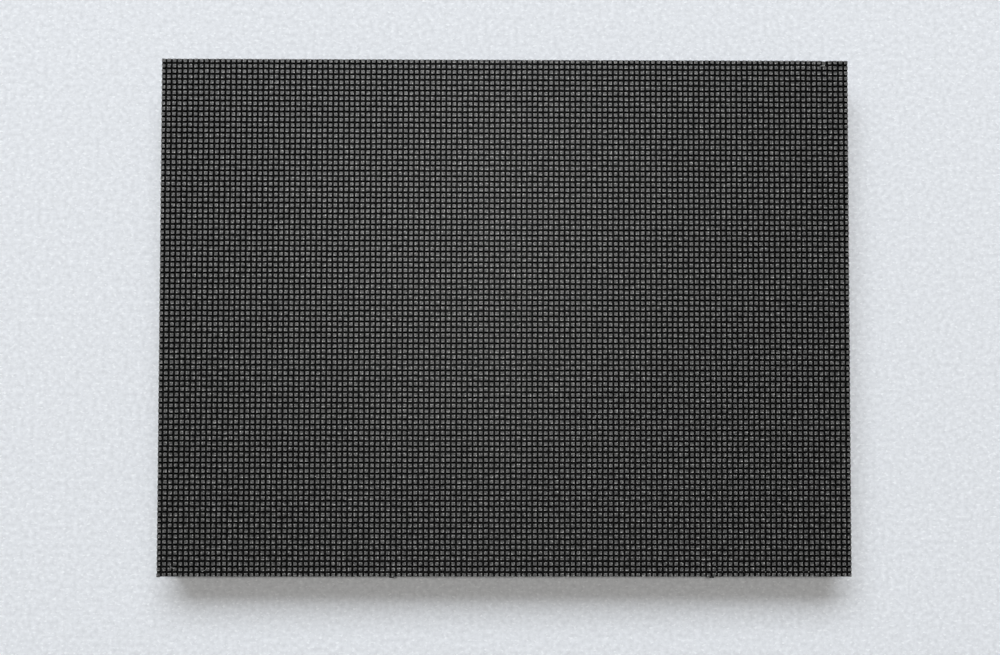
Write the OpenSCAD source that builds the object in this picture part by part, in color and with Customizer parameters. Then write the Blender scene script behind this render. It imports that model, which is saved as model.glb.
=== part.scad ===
// Flexible LED display tile: a thin lamp board on a soft frame that holds ring magnets.
// It lies face up: +X to the right, +Y to the top of the picture, z = 0 on the magnets' faces.

/* [Lamp matrix] */
// Distance between the centres of neighbouring lamps
pitch = 1.5625; // [1.5:0.0125:1.9]
// Lamps in each row, in whole driver blocks on each half
columns = 128; // [128:32:192]
// Rows of lamps
rows = 96; // [80:16:128]
// Side of a square lamp
lamp_side = 1.05; // [1.0:0.05:1.3]
// Height of a lamp above the board
lamp_height = 0.8; // [0.6:0.05:1.2]
// Column of the lamp that is lost, counted from the left
lost_column = 124; // [3:1:126]
// Row of the lamp that is lost, counted from the top
lost_row = 1; // [1:1:80]

/* [Face mask] */
// Height of the mask's row ribs above the board
mask_height = 0.3; // [0.2:0.05:0.55]
// How far the mask's column ribs stand over the lamp faces
mask_proud = 0.06; // [0.04:0.01:0.15]
// Clearance between the mask and the side of a lamp
mask_clearance = 0.05; // [0.02:0.01:0.08]

/* [Circuit board] */
// Thickness of the flexible board
board_thickness = 0.8; // [0.4:0.1:1.6]
// How far the board's edge lies inside the tile outline
board_inset = 0.15; // [0.05:0.05:0.15]
// Width of a snapped-off tab stub on the lower edge
tab_width = 1.3; // [0.6:0.1:2]
// How far a tab stub stands out of the board's edge
tab_length = 0.4; // [0.1:0.05:0.5]
// Distance of the first tab stub from the left edge
tab_1_place = 67.4; // [10:0.1:90]
// Distance of the second tab stub from the left edge
tab_2_place = 159.6; // [100:0.1:190]

/* [Back frame] */
// Height of the board's back over the magnets' faces
stand_off = 9.6; // [9.5:0.1:12]
// How far the frame's outer wall lies inside the tile outline
frame_inset = 0.8; // [0.4:0.1:2]
// Width of the frame's outer wall
wall_width = 3; // [2:0.1:5]
// Width of the frame's inner ribs
rib_width = 2.4; // [1.6:0.1:4]
// Depth of the frame's walls and ribs below the board
frame_depth = 5.6; // [4:0.1:7]
// Radius of the frame's corners and of its windows' corners
frame_corner = 2; // [1:0.1:3]
// Outer diameter of a boss that holds a magnet
boss_diameter = 15; // [14.4:0.1:17]

/* [Magnets] */
// Distance of the outer magnets' centres from the tile outline
magnet_edge = 10; // [9:0.5:12]
// Diameter of a ring magnet
magnet_diameter = 12; // [10:0.5:12.5]
// Thickness of a ring magnet
magnet_thickness = 3; // [2.5:0.1:3.5]
// How far a magnet stands out of its cup
magnet_proud = 1.5; // [0.5:0.1:2]
// Radial clearance of a magnet in its cup
magnet_clearance = 0.05; // [0.02:0.01:0.2]

/* [Magnet screws] */
// Diameter of a screw's shank
screw_diameter = 3; // [2:0.1:3.2]
// Length of a screw from its head's face to its tip
screw_length = 8; // [6:0.5:9]
// Diameter of a screw's flat head
head_diameter = 5.6; // [4.5:0.1:6]
// How far a screw's head lies below the magnet's face
head_recess = 0.1; // [0.05:0.05:0.3]
// Width of the cross slots in a screw's head
slot_width = 0.7; // [0.4:0.05:1]
// Length of the cross slots in a screw's head
slot_length = 3; // [2:0.1:3.6]
// Depth of the cross slots in a screw's head
slot_depth = 0.9; // [0.4:0.1:1.2]
// Radial clearance of a screw in the magnet and the frame
screw_clearance = 0.2; // [0.1:0.05:0.3]
// Radial clearance of a screw in its nut
thread_clearance = 0.05; // [0.02:0.01:0.1]

/* [Board nuts] */
// Outer diameter of a nut that is soldered to the board
nut_diameter = 5.6; // [5:0.1:6]
// Height of a nut
nut_height = 5; // [4:0.1:5.2]
// Bevel on a nut's outer edge
nut_bevel = 0.3; // [0.1:0.05:0.5]
// Radial clearance of a nut in the frame
nut_clearance = 0.1; // [0.05:0.05:0.3]

/* [Chips] */
// Rows of driver chips on each half of the board
driver_rows = 3; // [2:1:3]
// Side of a driver chip
driver_side = 4; // [3:0.1:5]
// Height of a driver chip
driver_height = 0.85; // [0.7:0.05:1]
// Bevel at the first terminal of a driver chip
driver_bevel = 0.4; // [0.2:0.05:0.8]
// Length of a row switch's body
switch_length = 9.9; // [5:0.1:10.2]
// Width of a row switch's body
switch_width = 3.9; // [3:0.1:4.5]
// Height of a row switch
switch_height = 1.6; // [1:0.1:1.75]
// Leads on a row switch
switch_leads = 16; // [8:2:16]
// Distance between the leads of a row switch
switch_lead_pitch = 1.2; // [0.6:0.01:1.27]
// Width of a lead of a row switch
switch_lead_width = 0.42; // [0.2:0.01:0.5]
// Length of a buffer's body
buffer_length = 6.5; // [5:0.1:8]
// Width of a buffer's body
buffer_width = 4.4; // [3.9:0.1:5.3]
// Height of a buffer
buffer_height = 1.1; // [0.9:0.05:1.5]
// Leads on a buffer
buffer_leads = 20; // [8:2:20]
// Distance between the leads of a buffer
buffer_lead_pitch = 0.64; // [0.4:0.01:0.65]
// Width of a lead of a buffer
buffer_lead_width = 0.24; // [0.15:0.01:0.3]
// Gap under the body of a leaded chip
chip_lift = 0.1; // [0.05:0.01:0.2]
// Thickness of a lead
lead_thickness = 0.18; // [0.1:0.01:0.25]
// How far a lead runs out level before it turns down
lead_shoulder = 0.25; // [0.1:0.05:0.4]
// How far a lead reaches from the body
lead_reach = 1; // [0.8:0.05:1.2]

/* [Capacitors and resistors] */
// Side of a bulk capacitor's base
base_side = 6.6; // [6.5:0.1:7.2]
// Height of a bulk capacitor's base
base_height = 1.2; // [0.8:0.1:1.5]
// Bevel on the two marked corners of a bulk capacitor's base
base_bevel = 1.2; // [0.6:0.1:1.6]
// Diameter of a bulk capacitor's can
can_diameter = 6.3; // [5:0.1:6.3]
// Height of a bulk capacitor's can above its base
can_height = 4.6; // [3.5:0.1:5.5]
// Depth of the crimped groove round a can
can_groove = 0.3; // [0.1:0.05:0.4]
// Height of the crimped groove above the base
can_groove_height = 0.9; // [0.7:0.05:1.2]
// Edge radius of a can's top
can_edge = 0.4; // [0.2:0.05:0.8]
// Length of a ceramic capacitor
ceramic_length = 2; // [1:0.1:3.2]
// Width of a ceramic capacitor
ceramic_width = 1.25; // [0.5:0.05:1.6]
// Height of a ceramic capacitor
ceramic_height = 0.85; // [0.5:0.05:1.25]
// Length of a ceramic capacitor's metal ends
ceramic_end = 0.4; // [0.2:0.05:0.5]
// How far a ceramic capacitor's body lies inside its metal ends
ceramic_step = 0.03; // [0.01:0.01:0.05]
// Gap between a driver chip and its ceramic capacitor
ceramic_gap = 1.5; // [0.8:0.1:1.6]
// Length of a resistor array
array_length = 3.2; // [2:0.1:3.6]
// Width of a resistor array
array_width = 1.6; // [1:0.1:2]
// Height of a resistor array
array_height = 0.55; // [0.3:0.05:0.7]
// Resistors in an array
array_count = 4; // [2:1:4]
// Radius of the hollows between the ends of an array
array_hollow = 0.15; // [0.1:0.01:0.2]
// Gap between neighbouring resistor arrays
array_gap = 1.4; // [0.8:0.1:2]

/* [Signal headers] */
// Pins in each of a signal header's two rows
signal_pins = 8; // [5:1:8]
// Distance between the pins of a signal header
signal_pitch = 2.54; // [2:0.01:2.54]
// Side of a signal pin
signal_pin = 0.64; // [0.4:0.01:0.7]
// Length of a shroud past the last pin centre at each end
shroud_end = 5.08; // [4:0.01:5.3]
// Width of a shroud
shroud_width = 8.9; // [8:0.1:9.2]
// Height of a signal header above the board
shroud_height = 9; // [8:0.1:9.2]
// Thickness of a shroud's walls
shroud_wall = 1.1; // [0.8:0.05:1.4]
// Thickness of a shroud's floor
shroud_floor = 2; // [1.5:0.1:3]
// Width of the key notch in a shroud
key_width = 4.5; // [3:0.1:5]
// Height of a signal pin above the shroud's floor
signal_pin_rise = 5.4; // [4:0.1:5.8]
// How far a signal pin's tail reaches past the shroud
tail_reach = 1.5; // [1:0.1:1.7]
// Clearance of the pins in their shroud and of the tails under it
pin_clearance = 0.05; // [0.02:0.01:0.1]
// Length of the feet that a header stands on
header_foot = 2; // [1:0.1:2.4]

/* [Power header] */
// Power pins
power_pins = 4; // [2:1:4]
// Distance between the power pins
power_pitch = 3.96; // [2.5:0.01:4]
// Side of a power pin
power_pin = 1.14; // [0.6:0.01:1.2]
// Width of the power header's body
power_width = 8.5; // [7.5:0.1:9]
// Thickness of the power header's base
power_base = 2.4; // [1.8:0.1:3]
// Height of the power header's lock wall above the board
power_height = 9; // [8:0.1:9.2]
// Thickness of the power header's lock wall
power_wall = 1.5; // [1:0.1:1.8]
// Height of a power pin above the board
power_pin_height = 8.6; // [7:0.1:9]
// Length of the power header past the last pin centre at each end
power_end = 1.98; // [1.8:0.01:3]
// Length of a slot in the lock wall
lock_slot = 2; // [1:0.1:2.4]
// Depth of a slot in the lock wall
lock_depth = 2.6; // [1:0.1:4]

/* [Hidden] */
$fn = 64;

// Lamp columns that one driver chip serves
block_columns = 16;
// Depth by which joined shapes reach into each other
joint = 0.2;

face_width = columns * pitch;
face_height = rows * pitch;
board_width = face_width - 2 * board_inset;
board_height = face_height - 2 * board_inset;
board_top = stand_off + board_thickness;
lamp_span_x = (columns - 1) * pitch + lamp_side;
lamp_span_y = (rows - 1) * pitch + lamp_side;
lamp_top = board_top + lamp_height;
mask_top = lamp_top + mask_proud;
mask_rib = pitch - lamp_side - 2 * mask_clearance;

blocks = columns / block_columns;
block_width = block_columns * pitch;
in_seam = 1;
out_seam = blocks - 1;
switch_seams = [2, blocks - 2];
middle_seam = blocks / 2;
rib_seams = [middle_seam - 1, middle_seam + 1];

magnet_row = face_height / 2 - magnet_edge;
magnet_x = [
    -face_width / 2 + magnet_edge,
    seam_x(rib_seams[0]),
    seam_x(rib_seams[1]),
    face_width / 2 - magnet_edge
];
magnet_y = [magnet_row, 0, -magnet_row];
magnet_places = [for (y = magnet_y) for (x = magnet_x) [x, y]];
magnet_count = len(magnet_places);
cup_floor = magnet_thickness;
nut_seat = stand_off - nut_height;

frame_width = face_width - 2 * frame_inset;
frame_height = face_height - 2 * frame_inset;
window_edge_x = frame_width / 2 - wall_width;
window_edge_y = frame_height / 2 - wall_width;
window_spans = [
    [-window_edge_x, seam_x(rib_seams[0]) - rib_width / 2],
    [seam_x(rib_seams[0]) + rib_width / 2, seam_x(rib_seams[1]) - rib_width / 2],
    [seam_x(rib_seams[1]) + rib_width / 2, window_edge_x]
];

chip_row_step = magnet_row / (driver_rows + 1);
ceramic_offset = driver_side / 2 + ceramic_gap + ceramic_width / 2;
header_y = magnet_row / 2;
driver_banks = [for (side = [1, -1]) for (row = [1:driver_rows]) side * row * chip_row_step];
buffer_places = [for (seam = [in_seam, out_seam]) for (row = [1, 2]) [seam_x(seam), -row * chip_row_step]];
can_places = [for (side = [1, -1]) for (row = [1, driver_rows]) [seam_x(middle_seam), side * row * chip_row_step]];

signal_lift = signal_pin + pin_clearance;
shroud_length = (signal_pins - 1) * signal_pitch + 2 * shroud_end;
power_lift = power_pin + pin_clearance;
power_length = (power_pins - 1) * power_pitch + 2 * power_end;

// Centre of a lamp column, counted from the left
function column_x(column) = (column - (columns + 1) / 2) * pitch;

// Centre of a lamp row, counted from the top
function row_y(row) = ((rows + 1) / 2 - row) * pitch;

// Centre of a driver block, counted from the left
function block_x(block) = (block - (blocks + 1) / 2) * block_width;

// Line between two driver blocks, counted from the left
function seam_x(seam) = (seam - blocks / 2) * block_width;

// Puts a component on the board's back, with its own +Z pointing away from the board
module on_back(place, turn = 0)
    translate([place[0], place[1], stand_off])
        rotate([180, 0, turn])
            children();

// A rectangle with round corners between two opposite corners
module rounded_rectangle(low, high, radius) {
    size = high - low;
    translate(low + [radius, 0])
        square([size[0] - 2 * radius, size[1]]);
    translate(low + [0, radius])
        square([size[0], size[1] - 2 * radius]);
    for (x = [low[0] + radius, high[0] - radius])
        for (y = [low[1] + radius, high[1] - radius])
            translate([x, y])
                circle(r = radius);
}

// An unbroken run of lamps in one row
module lamp_run(first, last, row)
    translate([column_x(first) - lamp_side / 2, row_y(row) - lamp_side / 2, board_top])
        cube([(last - first) * pitch + lamp_side, lamp_side, lamp_height]);

// Every row is a run of lamps, with its two end lamps standing apart outside the mask's border
module lamp_rows()
    color("dimgray")
        for (row = [1:rows]) {
            lamp_run(1, 1, row);
            if (row == lost_row) {
                lamp_run(2, lost_column - 1, row);
                lamp_run(lost_column + 1, columns - 1, row);
            } else {
                lamp_run(2, columns - 1, row);
            }
            lamp_run(columns, columns, row);
        }

// A bar of the mask that follows a row gap
module row_rib(gap, height)
    translate([-lamp_span_x / 2, row_y(gap + 0.5) - mask_rib / 2, board_top])
        cube([lamp_span_x, mask_rib, height]);

// A bar of the mask that follows a column gap
module column_rib(gap, bottom)
    translate([column_x(gap + 0.5) - mask_rib / 2, -lamp_span_y / 2, bottom])
        cube([mask_rib, lamp_span_y, mask_top - bottom]);

// Low ribs between the rows, flat ribs across the lamp runs, and a full-height border that joins them
module face_mask()
    color("black") {
        for (gap = [2:rows - 2])
            row_rib(gap, mask_height);
        for (gap = [2:columns - 2])
            column_rib(gap, lamp_top);
        for (gap = [1, rows - 1])
            row_rib(gap, mask_top - board_top);
        for (gap = [1, columns - 1])
            column_rib(gap, board_top);
    }

// The board, with the stubs of two snapped-off tabs on its lower edge
module circuit_board()
    color("darkslategray") {
        translate([-board_width / 2, -board_height / 2, stand_off])
            cube([board_width, board_height, board_thickness]);
        for (place = [tab_1_place, tab_2_place])
            translate([place - face_width / 2 - tab_width / 2, -board_height / 2 - tab_length, stand_off])
                cube([tab_width, tab_length + joint, board_thickness]);
    }

// Walls and ribs of the frame round its six windows
module frame_outline()
    difference() {
        rounded_rectangle([-frame_width / 2, -frame_height / 2], [frame_width / 2, frame_height / 2], frame_corner);
        for (span = window_spans) {
            rounded_rectangle([span[0], rib_width / 2], [span[1], window_edge_y], frame_corner);
            rounded_rectangle([span[0], -window_edge_y], [span[1], -rib_width / 2], frame_corner);
        }
    }

// The soft moulding that carries the magnets, with a stepped bore through each boss
module back_frame()
    color("dimgray")
        difference() {
            union() {
                translate([0, 0, stand_off - frame_depth])
                    linear_extrude(frame_depth)
                        frame_outline();
                for (place = magnet_places)
                    translate([place[0], place[1], magnet_proud])
                        cylinder(d = boss_diameter, h = stand_off - magnet_proud);
            }
            for (place = magnet_places)
                translate([place[0], place[1], 0])
                    boss_bore();
        }

// Cup for the magnet, hole for the screw and pocket for the nut
module boss_bore() {
    cylinder(r = magnet_diameter / 2 + magnet_clearance, h = cup_floor);
    cylinder(r = screw_diameter / 2 + screw_clearance, h = stand_off);
    translate([0, 0, nut_seat])
        cylinder(r = nut_diameter / 2 + nut_clearance, h = nut_height + joint);
}

// A ring magnet with a countersunk hole in its outer face
module magnet(place) {
    hole = screw_diameter / 2 + screw_clearance;
    sink = head_diameter / 2 + head_recess + thread_clearance;
    color("silver")
        translate([place[0], place[1], 0])
            rotate_extrude()
                polygon([
                    [sink, 0],
                    [magnet_diameter / 2, 0],
                    [magnet_diameter / 2, magnet_thickness],
                    [hole, magnet_thickness],
                    [hole, sink - hole]
                ]);
}

// Flat-head screw with its head's face down
module magnet_screw() {
    head = head_diameter / 2;
    shank = screw_diameter / 2;
    difference() {
        rotate_extrude()
            polygon([
                [0, head_recess],
                [head, head_recess],
                [shank, head_recess + head - shank],
                [shank, head_recess + screw_length],
                [0, head_recess + screw_length]
            ]);
        for (turn = [0, 90])
            rotate(turn)
                translate([-slot_length / 2, -slot_width / 2, 0])
                    cube([slot_length, slot_width, head_recess + slot_depth]);
    }
}

module magnet_screws()
    color("darkgray")
        for (place = magnet_places)
            translate([place[0], place[1], 0])
                magnet_screw();

// Round nut that stands on the board's back, with a bevel at its free end
module board_nut() {
    outer = nut_diameter / 2;
    bore = screw_diameter / 2 + thread_clearance;
    rotate_extrude()
        polygon([
            [bore, 0],
            [outer, 0],
            [outer, nut_height - nut_bevel],
            [outer - nut_bevel, nut_height],
            [bore, nut_height]
        ]);
}

module board_nuts()
    color("gold")
        for (place = magnet_places)
            on_back(place)
                board_nut();

// Flat chip with a bevel at its first terminal
module driver_chip() {
    half = driver_side / 2;
    linear_extrude(driver_height)
        polygon([
            [-half, -half],
            [half, -half],
            [half, half],
            [-half + driver_bevel, half],
            [-half, half - driver_bevel]
        ]);
}

// One driver chip for each block of lamp columns
module driver_bank(y)
    color("#2b2b2d")
        for (block = [1:blocks])
            on_back([block_x(block), y])
                driver_chip();

// Chip with gull-wing leads along its two long sides
module leaded_chip(length, width, height, leads, spacing, lead_width) {
    translate([-length / 2, -width / 2, chip_lift])
        cube([length, width, height - chip_lift]);
    for (side = [0, 180])
        rotate(side)
            for (i = [1:leads / 2])
                translate([(i - (leads / 2 + 1) / 2) * spacing - lead_width / 2, width / 2, 0])
                    gull_wing_lead(lead_width, height / 2);
}

// A lead that leaves the body level, turns down and ends in a flat foot
module gull_wing_lead(lead_width, level)
    rotate([90, 0, 90])
        linear_extrude(lead_width)
            polygon([
                [-joint, level],
                [lead_shoulder, level],
                [lead_shoulder, 0],
                [lead_reach, 0],
                [lead_reach, lead_thickness],
                [lead_shoulder + lead_thickness, lead_thickness],
                [lead_shoulder + lead_thickness, level + lead_thickness],
                [-joint, level + lead_thickness]
            ]);

// Row-switch chips along one seam between driver blocks
module row_switch_bank(seam)
    color("#333335")
        for (y = driver_banks)
            on_back([seam_x(seam), y], 90)
                leaded_chip(
                    switch_length, switch_width, switch_height,
                    switch_leads, switch_lead_pitch, switch_lead_width
                );

module buffer(place)
    color("#2f2f31")
        on_back(place, 90)
            leaded_chip(
                buffer_length, buffer_width, buffer_height,
                buffer_leads, buffer_lead_pitch, buffer_lead_width
            );

// Plastic base of a bulk capacitor, with two bevelled corners on its marked side
module capacitor_base(place) {
    half = base_side / 2;
    color("#1c1c1e")
        on_back(place)
            linear_extrude(base_height)
                polygon([
                    [-half, -half],
                    [half - base_bevel, -half],
                    [half, -half + base_bevel],
                    [half, half - base_bevel],
                    [half - base_bevel, half],
                    [-half, half]
                ]);
}

// Metal can of a bulk capacitor, with its crimped groove and rolled top edge
module capacitor_can(place) {
    outer = can_diameter / 2;
    color("lightgray")
        on_back(place)
            translate([0, 0, base_height])
                rotate_extrude()
                    polygon([
                        [0, 0],
                        [outer, 0],
                        [outer, can_groove_height - can_groove],
                        [outer - can_groove, can_groove_height],
                        [outer, can_groove_height + can_groove],
                        [outer, can_height - can_edge],
                        [outer - can_edge, can_height],
                        [0, can_height]
                    ]);
}

// Ceramic block with a metal cap on each end
module ceramic_capacitor() {
    body = [ceramic_width, ceramic_length, ceramic_height] - ceramic_step * [2, 0, 1];
    translate([-body[0] / 2, -body[1] / 2, 0])
        cube(body);
    for (end = [-ceramic_length / 2, ceramic_length / 2 - ceramic_end])
        translate([-ceramic_width / 2, end, 0])
            cube([ceramic_width, ceramic_end, ceramic_height]);
}

// One ceramic capacitor on the outer side of each driver chip
module ceramic_capacitors()
    color("tan")
        for (y = driver_banks)
            for (block = [1:blocks])
                on_back([block_x(block) + sign(block_x(block)) * ceramic_offset, y])
                    ceramic_capacitor();

// Resistor array with hollows between its ends on both long sides
module resistor_array() {
    step = array_length / array_count;
    difference() {
        translate([-array_length / 2, -array_width / 2, 0])
            cube([array_length, array_width, array_height]);
        for (i = [1:array_count - 1])
            for (side = [-1, 1])
                translate([i * step - array_length / 2, side * array_width / 2, -joint])
                    cylinder(r = array_hollow, h = array_height + 2 * joint, $fn = 24);
    }
}

// Four resistor arrays in a square below each pair of buffers
module resistor_arrays()
    color("#26262a")
        for (seam = [in_seam, out_seam])
            for (x = [-1, 1])
                for (y = [-1, 1])
                    on_back([
                        seam_x(seam) + x * (array_length + array_gap) / 2,
                        -driver_rows * chip_row_step + y * (array_width + array_gap) / 2
                    ])
                        resistor_array();

// Box with a keyed wall, pin holes in its floor and a foot at each end
module signal_shroud(seam) {
    half_length = shroud_length / 2;
    half_width = shroud_width / 2;
    floor_top = signal_lift + shroud_floor;
    hole = signal_pin + 2 * pin_clearance;
    color("#202022")
        on_back([seam_x(seam), header_y])
            difference() {
                union() {
                    translate([-half_width, -half_length, signal_lift])
                        cube([shroud_width, shroud_length, shroud_height - signal_lift]);
                    for (end = [-half_length, half_length - header_foot])
                        translate([-half_width, end, 0])
                            cube([shroud_width, header_foot, signal_lift + joint]);
                }
                translate([-half_width + shroud_wall, -half_length + shroud_wall, floor_top])
                    cube([
                        shroud_width - 2 * shroud_wall,
                        shroud_length - 2 * shroud_wall,
                        shroud_height
                    ]);
                translate([half_width - shroud_wall - joint, -key_width / 2, floor_top])
                    cube([2 * (shroud_wall + joint), key_width, shroud_height]);
                for (i = [1:signal_pins])
                    for (side = [-1, 1])
                        translate([
                            side * signal_pitch / 2 - hole / 2,
                            (i - (signal_pins + 1) / 2) * signal_pitch - hole / 2,
                            0
                        ])
                            cube([hole, hole, shroud_height]);
            }
}

// Bent pin: a tail on the board and an upright leg, centred on its own width
module bent_pin(side_length, rise, reach)
    rotate([90, 0, 0])
        translate([0, 0, -side_length / 2])
            linear_extrude(side_length)
                polygon([
                    [-side_length / 2, 0],
                    [reach, 0],
                    [reach, side_length],
                    [side_length / 2, side_length],
                    [side_length / 2, rise],
                    [-side_length / 2, rise]
                ]);

// Two rows of pins with their tails turned outwards
module signal_header_pins(seam)
    color("gold")
        on_back([seam_x(seam), header_y])
            for (i = [1:signal_pins])
                for (side = [0, 180])
                    rotate(side)
                        translate([signal_pitch / 2, (i - (signal_pins + 1) / 2) * signal_pitch, 0])
                            bent_pin(
                                signal_pin,
                                signal_lift + shroud_floor + signal_pin_rise,
                                shroud_width / 2 - signal_pitch / 2 + tail_reach
                            );

// Base with a tall slotted lock wall and a foot at each end
module power_header() {
    half_length = power_length / 2;
    half_width = power_width / 2;
    hole = power_pin + 2 * pin_clearance;
    color("ivory")
        on_back([seam_x(middle_seam), header_y])
            difference() {
                union() {
                    translate([-half_length, -half_width, power_lift])
                        cube([power_length, power_width, power_base]);
                    translate([-half_length, half_width - power_wall, power_lift])
                        cube([power_length, power_wall, power_height - power_lift]);
                    for (end = [-half_length, half_length - power_end + power_pin])
                        translate([end, -half_width, 0])
                            cube([power_end - power_pin, power_width, power_lift + joint]);
                }
                for (i = [1:power_pins])
                    translate([(i - (power_pins + 1) / 2) * power_pitch - hole / 2, -hole / 2, 0])
                        cube([hole, hole, power_height]);
                for (i = [1:power_pins - 1])
                    translate([
                        (i - power_pins / 2) * power_pitch - lock_slot / 2,
                        half_width - power_wall - joint,
                        power_height - lock_depth
                    ])
                        cube([lock_slot, power_wall + 2 * joint, lock_depth + joint]);
            }
}

module power_header_pins()
    color("lightgray")
        on_back([seam_x(middle_seam), header_y])
            for (i = [1:power_pins])
                translate([(i - (power_pins + 1) / 2) * power_pitch, 0, 0])
                    rotate(-90)
                        bent_pin(power_pin, power_pin_height, power_width / 2 + tail_reach);

lamp_rows();
face_mask();
circuit_board();
back_frame();
for (i = [1:magnet_count])
    magnet(magnet_places[i - 1]);
magnet_screws();
board_nuts();
for (i = [1:len(driver_banks)])
    driver_bank(driver_banks[i - 1]);
for (i = [1:len(switch_seams)])
    row_switch_bank(switch_seams[i - 1]);
for (i = [1:len(buffer_places)])
    buffer(buffer_places[i - 1]);
for (i = [1:len(can_places)])
    capacitor_base(can_places[i - 1]);
for (i = [1:len(can_places)])
    capacitor_can(can_places[i - 1]);
ceramic_capacitors();
resistor_arrays();
signal_shroud(in_seam);  // signal_in_shroud
signal_header_pins(in_seam);  // signal_in_pins
signal_shroud(out_seam);  // signal_out_shroud
signal_header_pins(out_seam);  // signal_out_pins
power_header();
power_header_pins();  // power_pins
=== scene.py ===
"""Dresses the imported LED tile: lamps and mask on its face; board, frame, chips and headers on its back."""
import math
import random

import bmesh
import bpy
import numpy
from mathutils import Euler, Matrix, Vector


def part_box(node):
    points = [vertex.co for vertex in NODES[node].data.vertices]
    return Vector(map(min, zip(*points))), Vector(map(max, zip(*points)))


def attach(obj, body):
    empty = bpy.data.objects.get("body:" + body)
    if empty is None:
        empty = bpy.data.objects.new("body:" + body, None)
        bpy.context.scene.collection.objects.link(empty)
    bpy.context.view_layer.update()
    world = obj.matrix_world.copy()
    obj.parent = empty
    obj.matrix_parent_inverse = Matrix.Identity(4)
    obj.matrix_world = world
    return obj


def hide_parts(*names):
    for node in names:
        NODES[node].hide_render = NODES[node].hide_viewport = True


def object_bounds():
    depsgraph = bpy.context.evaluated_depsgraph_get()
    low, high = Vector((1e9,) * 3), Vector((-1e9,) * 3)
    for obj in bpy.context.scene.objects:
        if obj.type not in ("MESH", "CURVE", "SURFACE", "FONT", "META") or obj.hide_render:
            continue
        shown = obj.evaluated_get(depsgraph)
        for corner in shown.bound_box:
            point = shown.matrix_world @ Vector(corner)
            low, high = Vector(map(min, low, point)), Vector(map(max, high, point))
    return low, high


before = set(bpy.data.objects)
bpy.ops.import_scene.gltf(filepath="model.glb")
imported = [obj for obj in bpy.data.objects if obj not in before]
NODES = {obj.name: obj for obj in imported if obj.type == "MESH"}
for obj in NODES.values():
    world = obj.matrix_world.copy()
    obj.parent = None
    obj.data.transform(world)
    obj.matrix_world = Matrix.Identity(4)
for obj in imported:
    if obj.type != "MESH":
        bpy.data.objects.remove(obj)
cad_low, cad_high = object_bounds()

bl_info = {
    "name": "LED tile",
    "version": (1, 0, 0),
    "blender": (4, 5, 0),
    "location": "View3D > Sidebar > LED tile",
    "description": "Models the face and the back of a flexible LED tile round its packed frame",
    "category": "Object",
}

MM = 0.001
WHITE = (1, 1, 1)
BLACK = (0, 0, 0)

# Points closer together than this are one point
MERGE_DISTANCE = 0.0005 * MM
# Faces that meet at less than this angle are one flat face
FLAT_ANGLE = math.radians(1)
# Edges that turn by more than this are bevelled
BEVEL_ANGLE = math.radians(40)
# Edges that turn by more than this stay crisp when a piece is shaded smooth
CRISP_ANGLE = math.radians(35)
# Least part of a face's normal along an axis for it to look that way
FACING = 0.5
# Least upward part of the normal of a lamp's frosted face, which leaves out its bevels
FROSTED_FACING = 0.9
# How far a cutting block stands past what it cuts
CUT_MARGIN = 1 * MM
# How far from a chip's body a face lies when it belongs to a lead
LEAD_START = 0.01 * MM
# Sides of a round mark on a can and of a printed dot
CAN_MARK_SIDES = 48
DOT_SIDES = 16
# Least and most stretch of a crumb along, across and up
CRUMB_STRETCH = ((0.7, 1.3), (0.5, 1.0), (0.3, 0.5))
# How far a crumb's points are moved, as a share of its reach, and how many seeds there are for that
CRUMB_TEAR = 0.25
CRUMB_SEEDS = 1000
# Steps in a fibre of lint, and how far it may turn at each, in radians
FIBRE_STEPS = 6
FIBRE_TURN = 0.5
# Where the grain has reached its darker and its lighter tone, and how far it moves the roughness
GRAIN_LOW = 0.35
GRAIN_HIGH = 0.65
GRAIN_GLOSS = 0.3

lamp_low, lamp_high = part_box("lamp_rows")
board_low, board_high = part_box("circuit_board")
face_top = lamp_high.z
board_top = board_high.z
board_back = board_low.z


# Settings

def length(name, words, millimetres):
    """A length that a user may change, given in millimetres."""
    return bpy.props.FloatProperty(
        name=name, description=words, default=millimetres * MM, min=0, unit="LENGTH", precision=6)


def angle(name, words, degrees):
    """An angle that a user may change, given in degrees."""
    return bpy.props.FloatProperty(
        name=name, description=words, default=math.radians(degrees), subtype="ANGLE")


def share(name, words, part):
    """A share of another size that a user may change."""
    return bpy.props.FloatProperty(
        name=name, description=words, default=part, min=0, max=1, subtype="FACTOR")


def whole(name, words, number):
    """A count that a user may change."""
    return bpy.props.IntProperty(name=name, description=words, default=number, min=1)


def power(name, words, watts):
    """A light's power that a user may change."""
    return bpy.props.FloatProperty(name=name, description=words, default=watts, min=0, unit="POWER")


def colour(name, words, value):
    """A colour that a user may change."""
    return bpy.props.FloatVectorProperty(
        name=name, description=words, default=value, size=3, min=0, max=1, subtype="COLOR")


def place(name, words, millimetres):
    """A place or a size along the tile's axes that a user may change, given in millimetres."""
    return bpy.props.FloatVectorProperty(
        name=name, description=words, default=[value * MM for value in millimetres],
        size=len(millimetres), subtype="XYZ", unit="LENGTH", precision=6)


class LampSettings(bpy.types.PropertyGroup):
    """Count, sizes and tones of the lamps."""
    columns: whole("Columns", "Lamps in a row", 128)
    rows: whole("Rows", "Rows of lamps", 96)
    bands: whole("Bands", "Pieces that the rows are shared among", 3)
    side: length("Side", "Side of a lamp", 1.05)
    corner: length("Corner", "Bevel of a lamp's upright edges", 0.12)
    edge: length("Edge", "Bevel round a lamp's face", 0.05)
    drift: length("Drift", "How far a lamp may sit off its place", 0.02)
    twist: angle("Twist", "How far a lamp may be turned", 1.2)
    tilt: angle("Tilt", "How far a lamp's face may lean", 1.0)
    seed: whole("Seed", "Start of the random draws", 7)
    resin: colour("Resin", "Tone of the frosted faces", (0.168, 0.162, 0.153))
    body: colour("Body", "Sides of the lamps", (0.0028, 0.0028, 0.0028))


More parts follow.
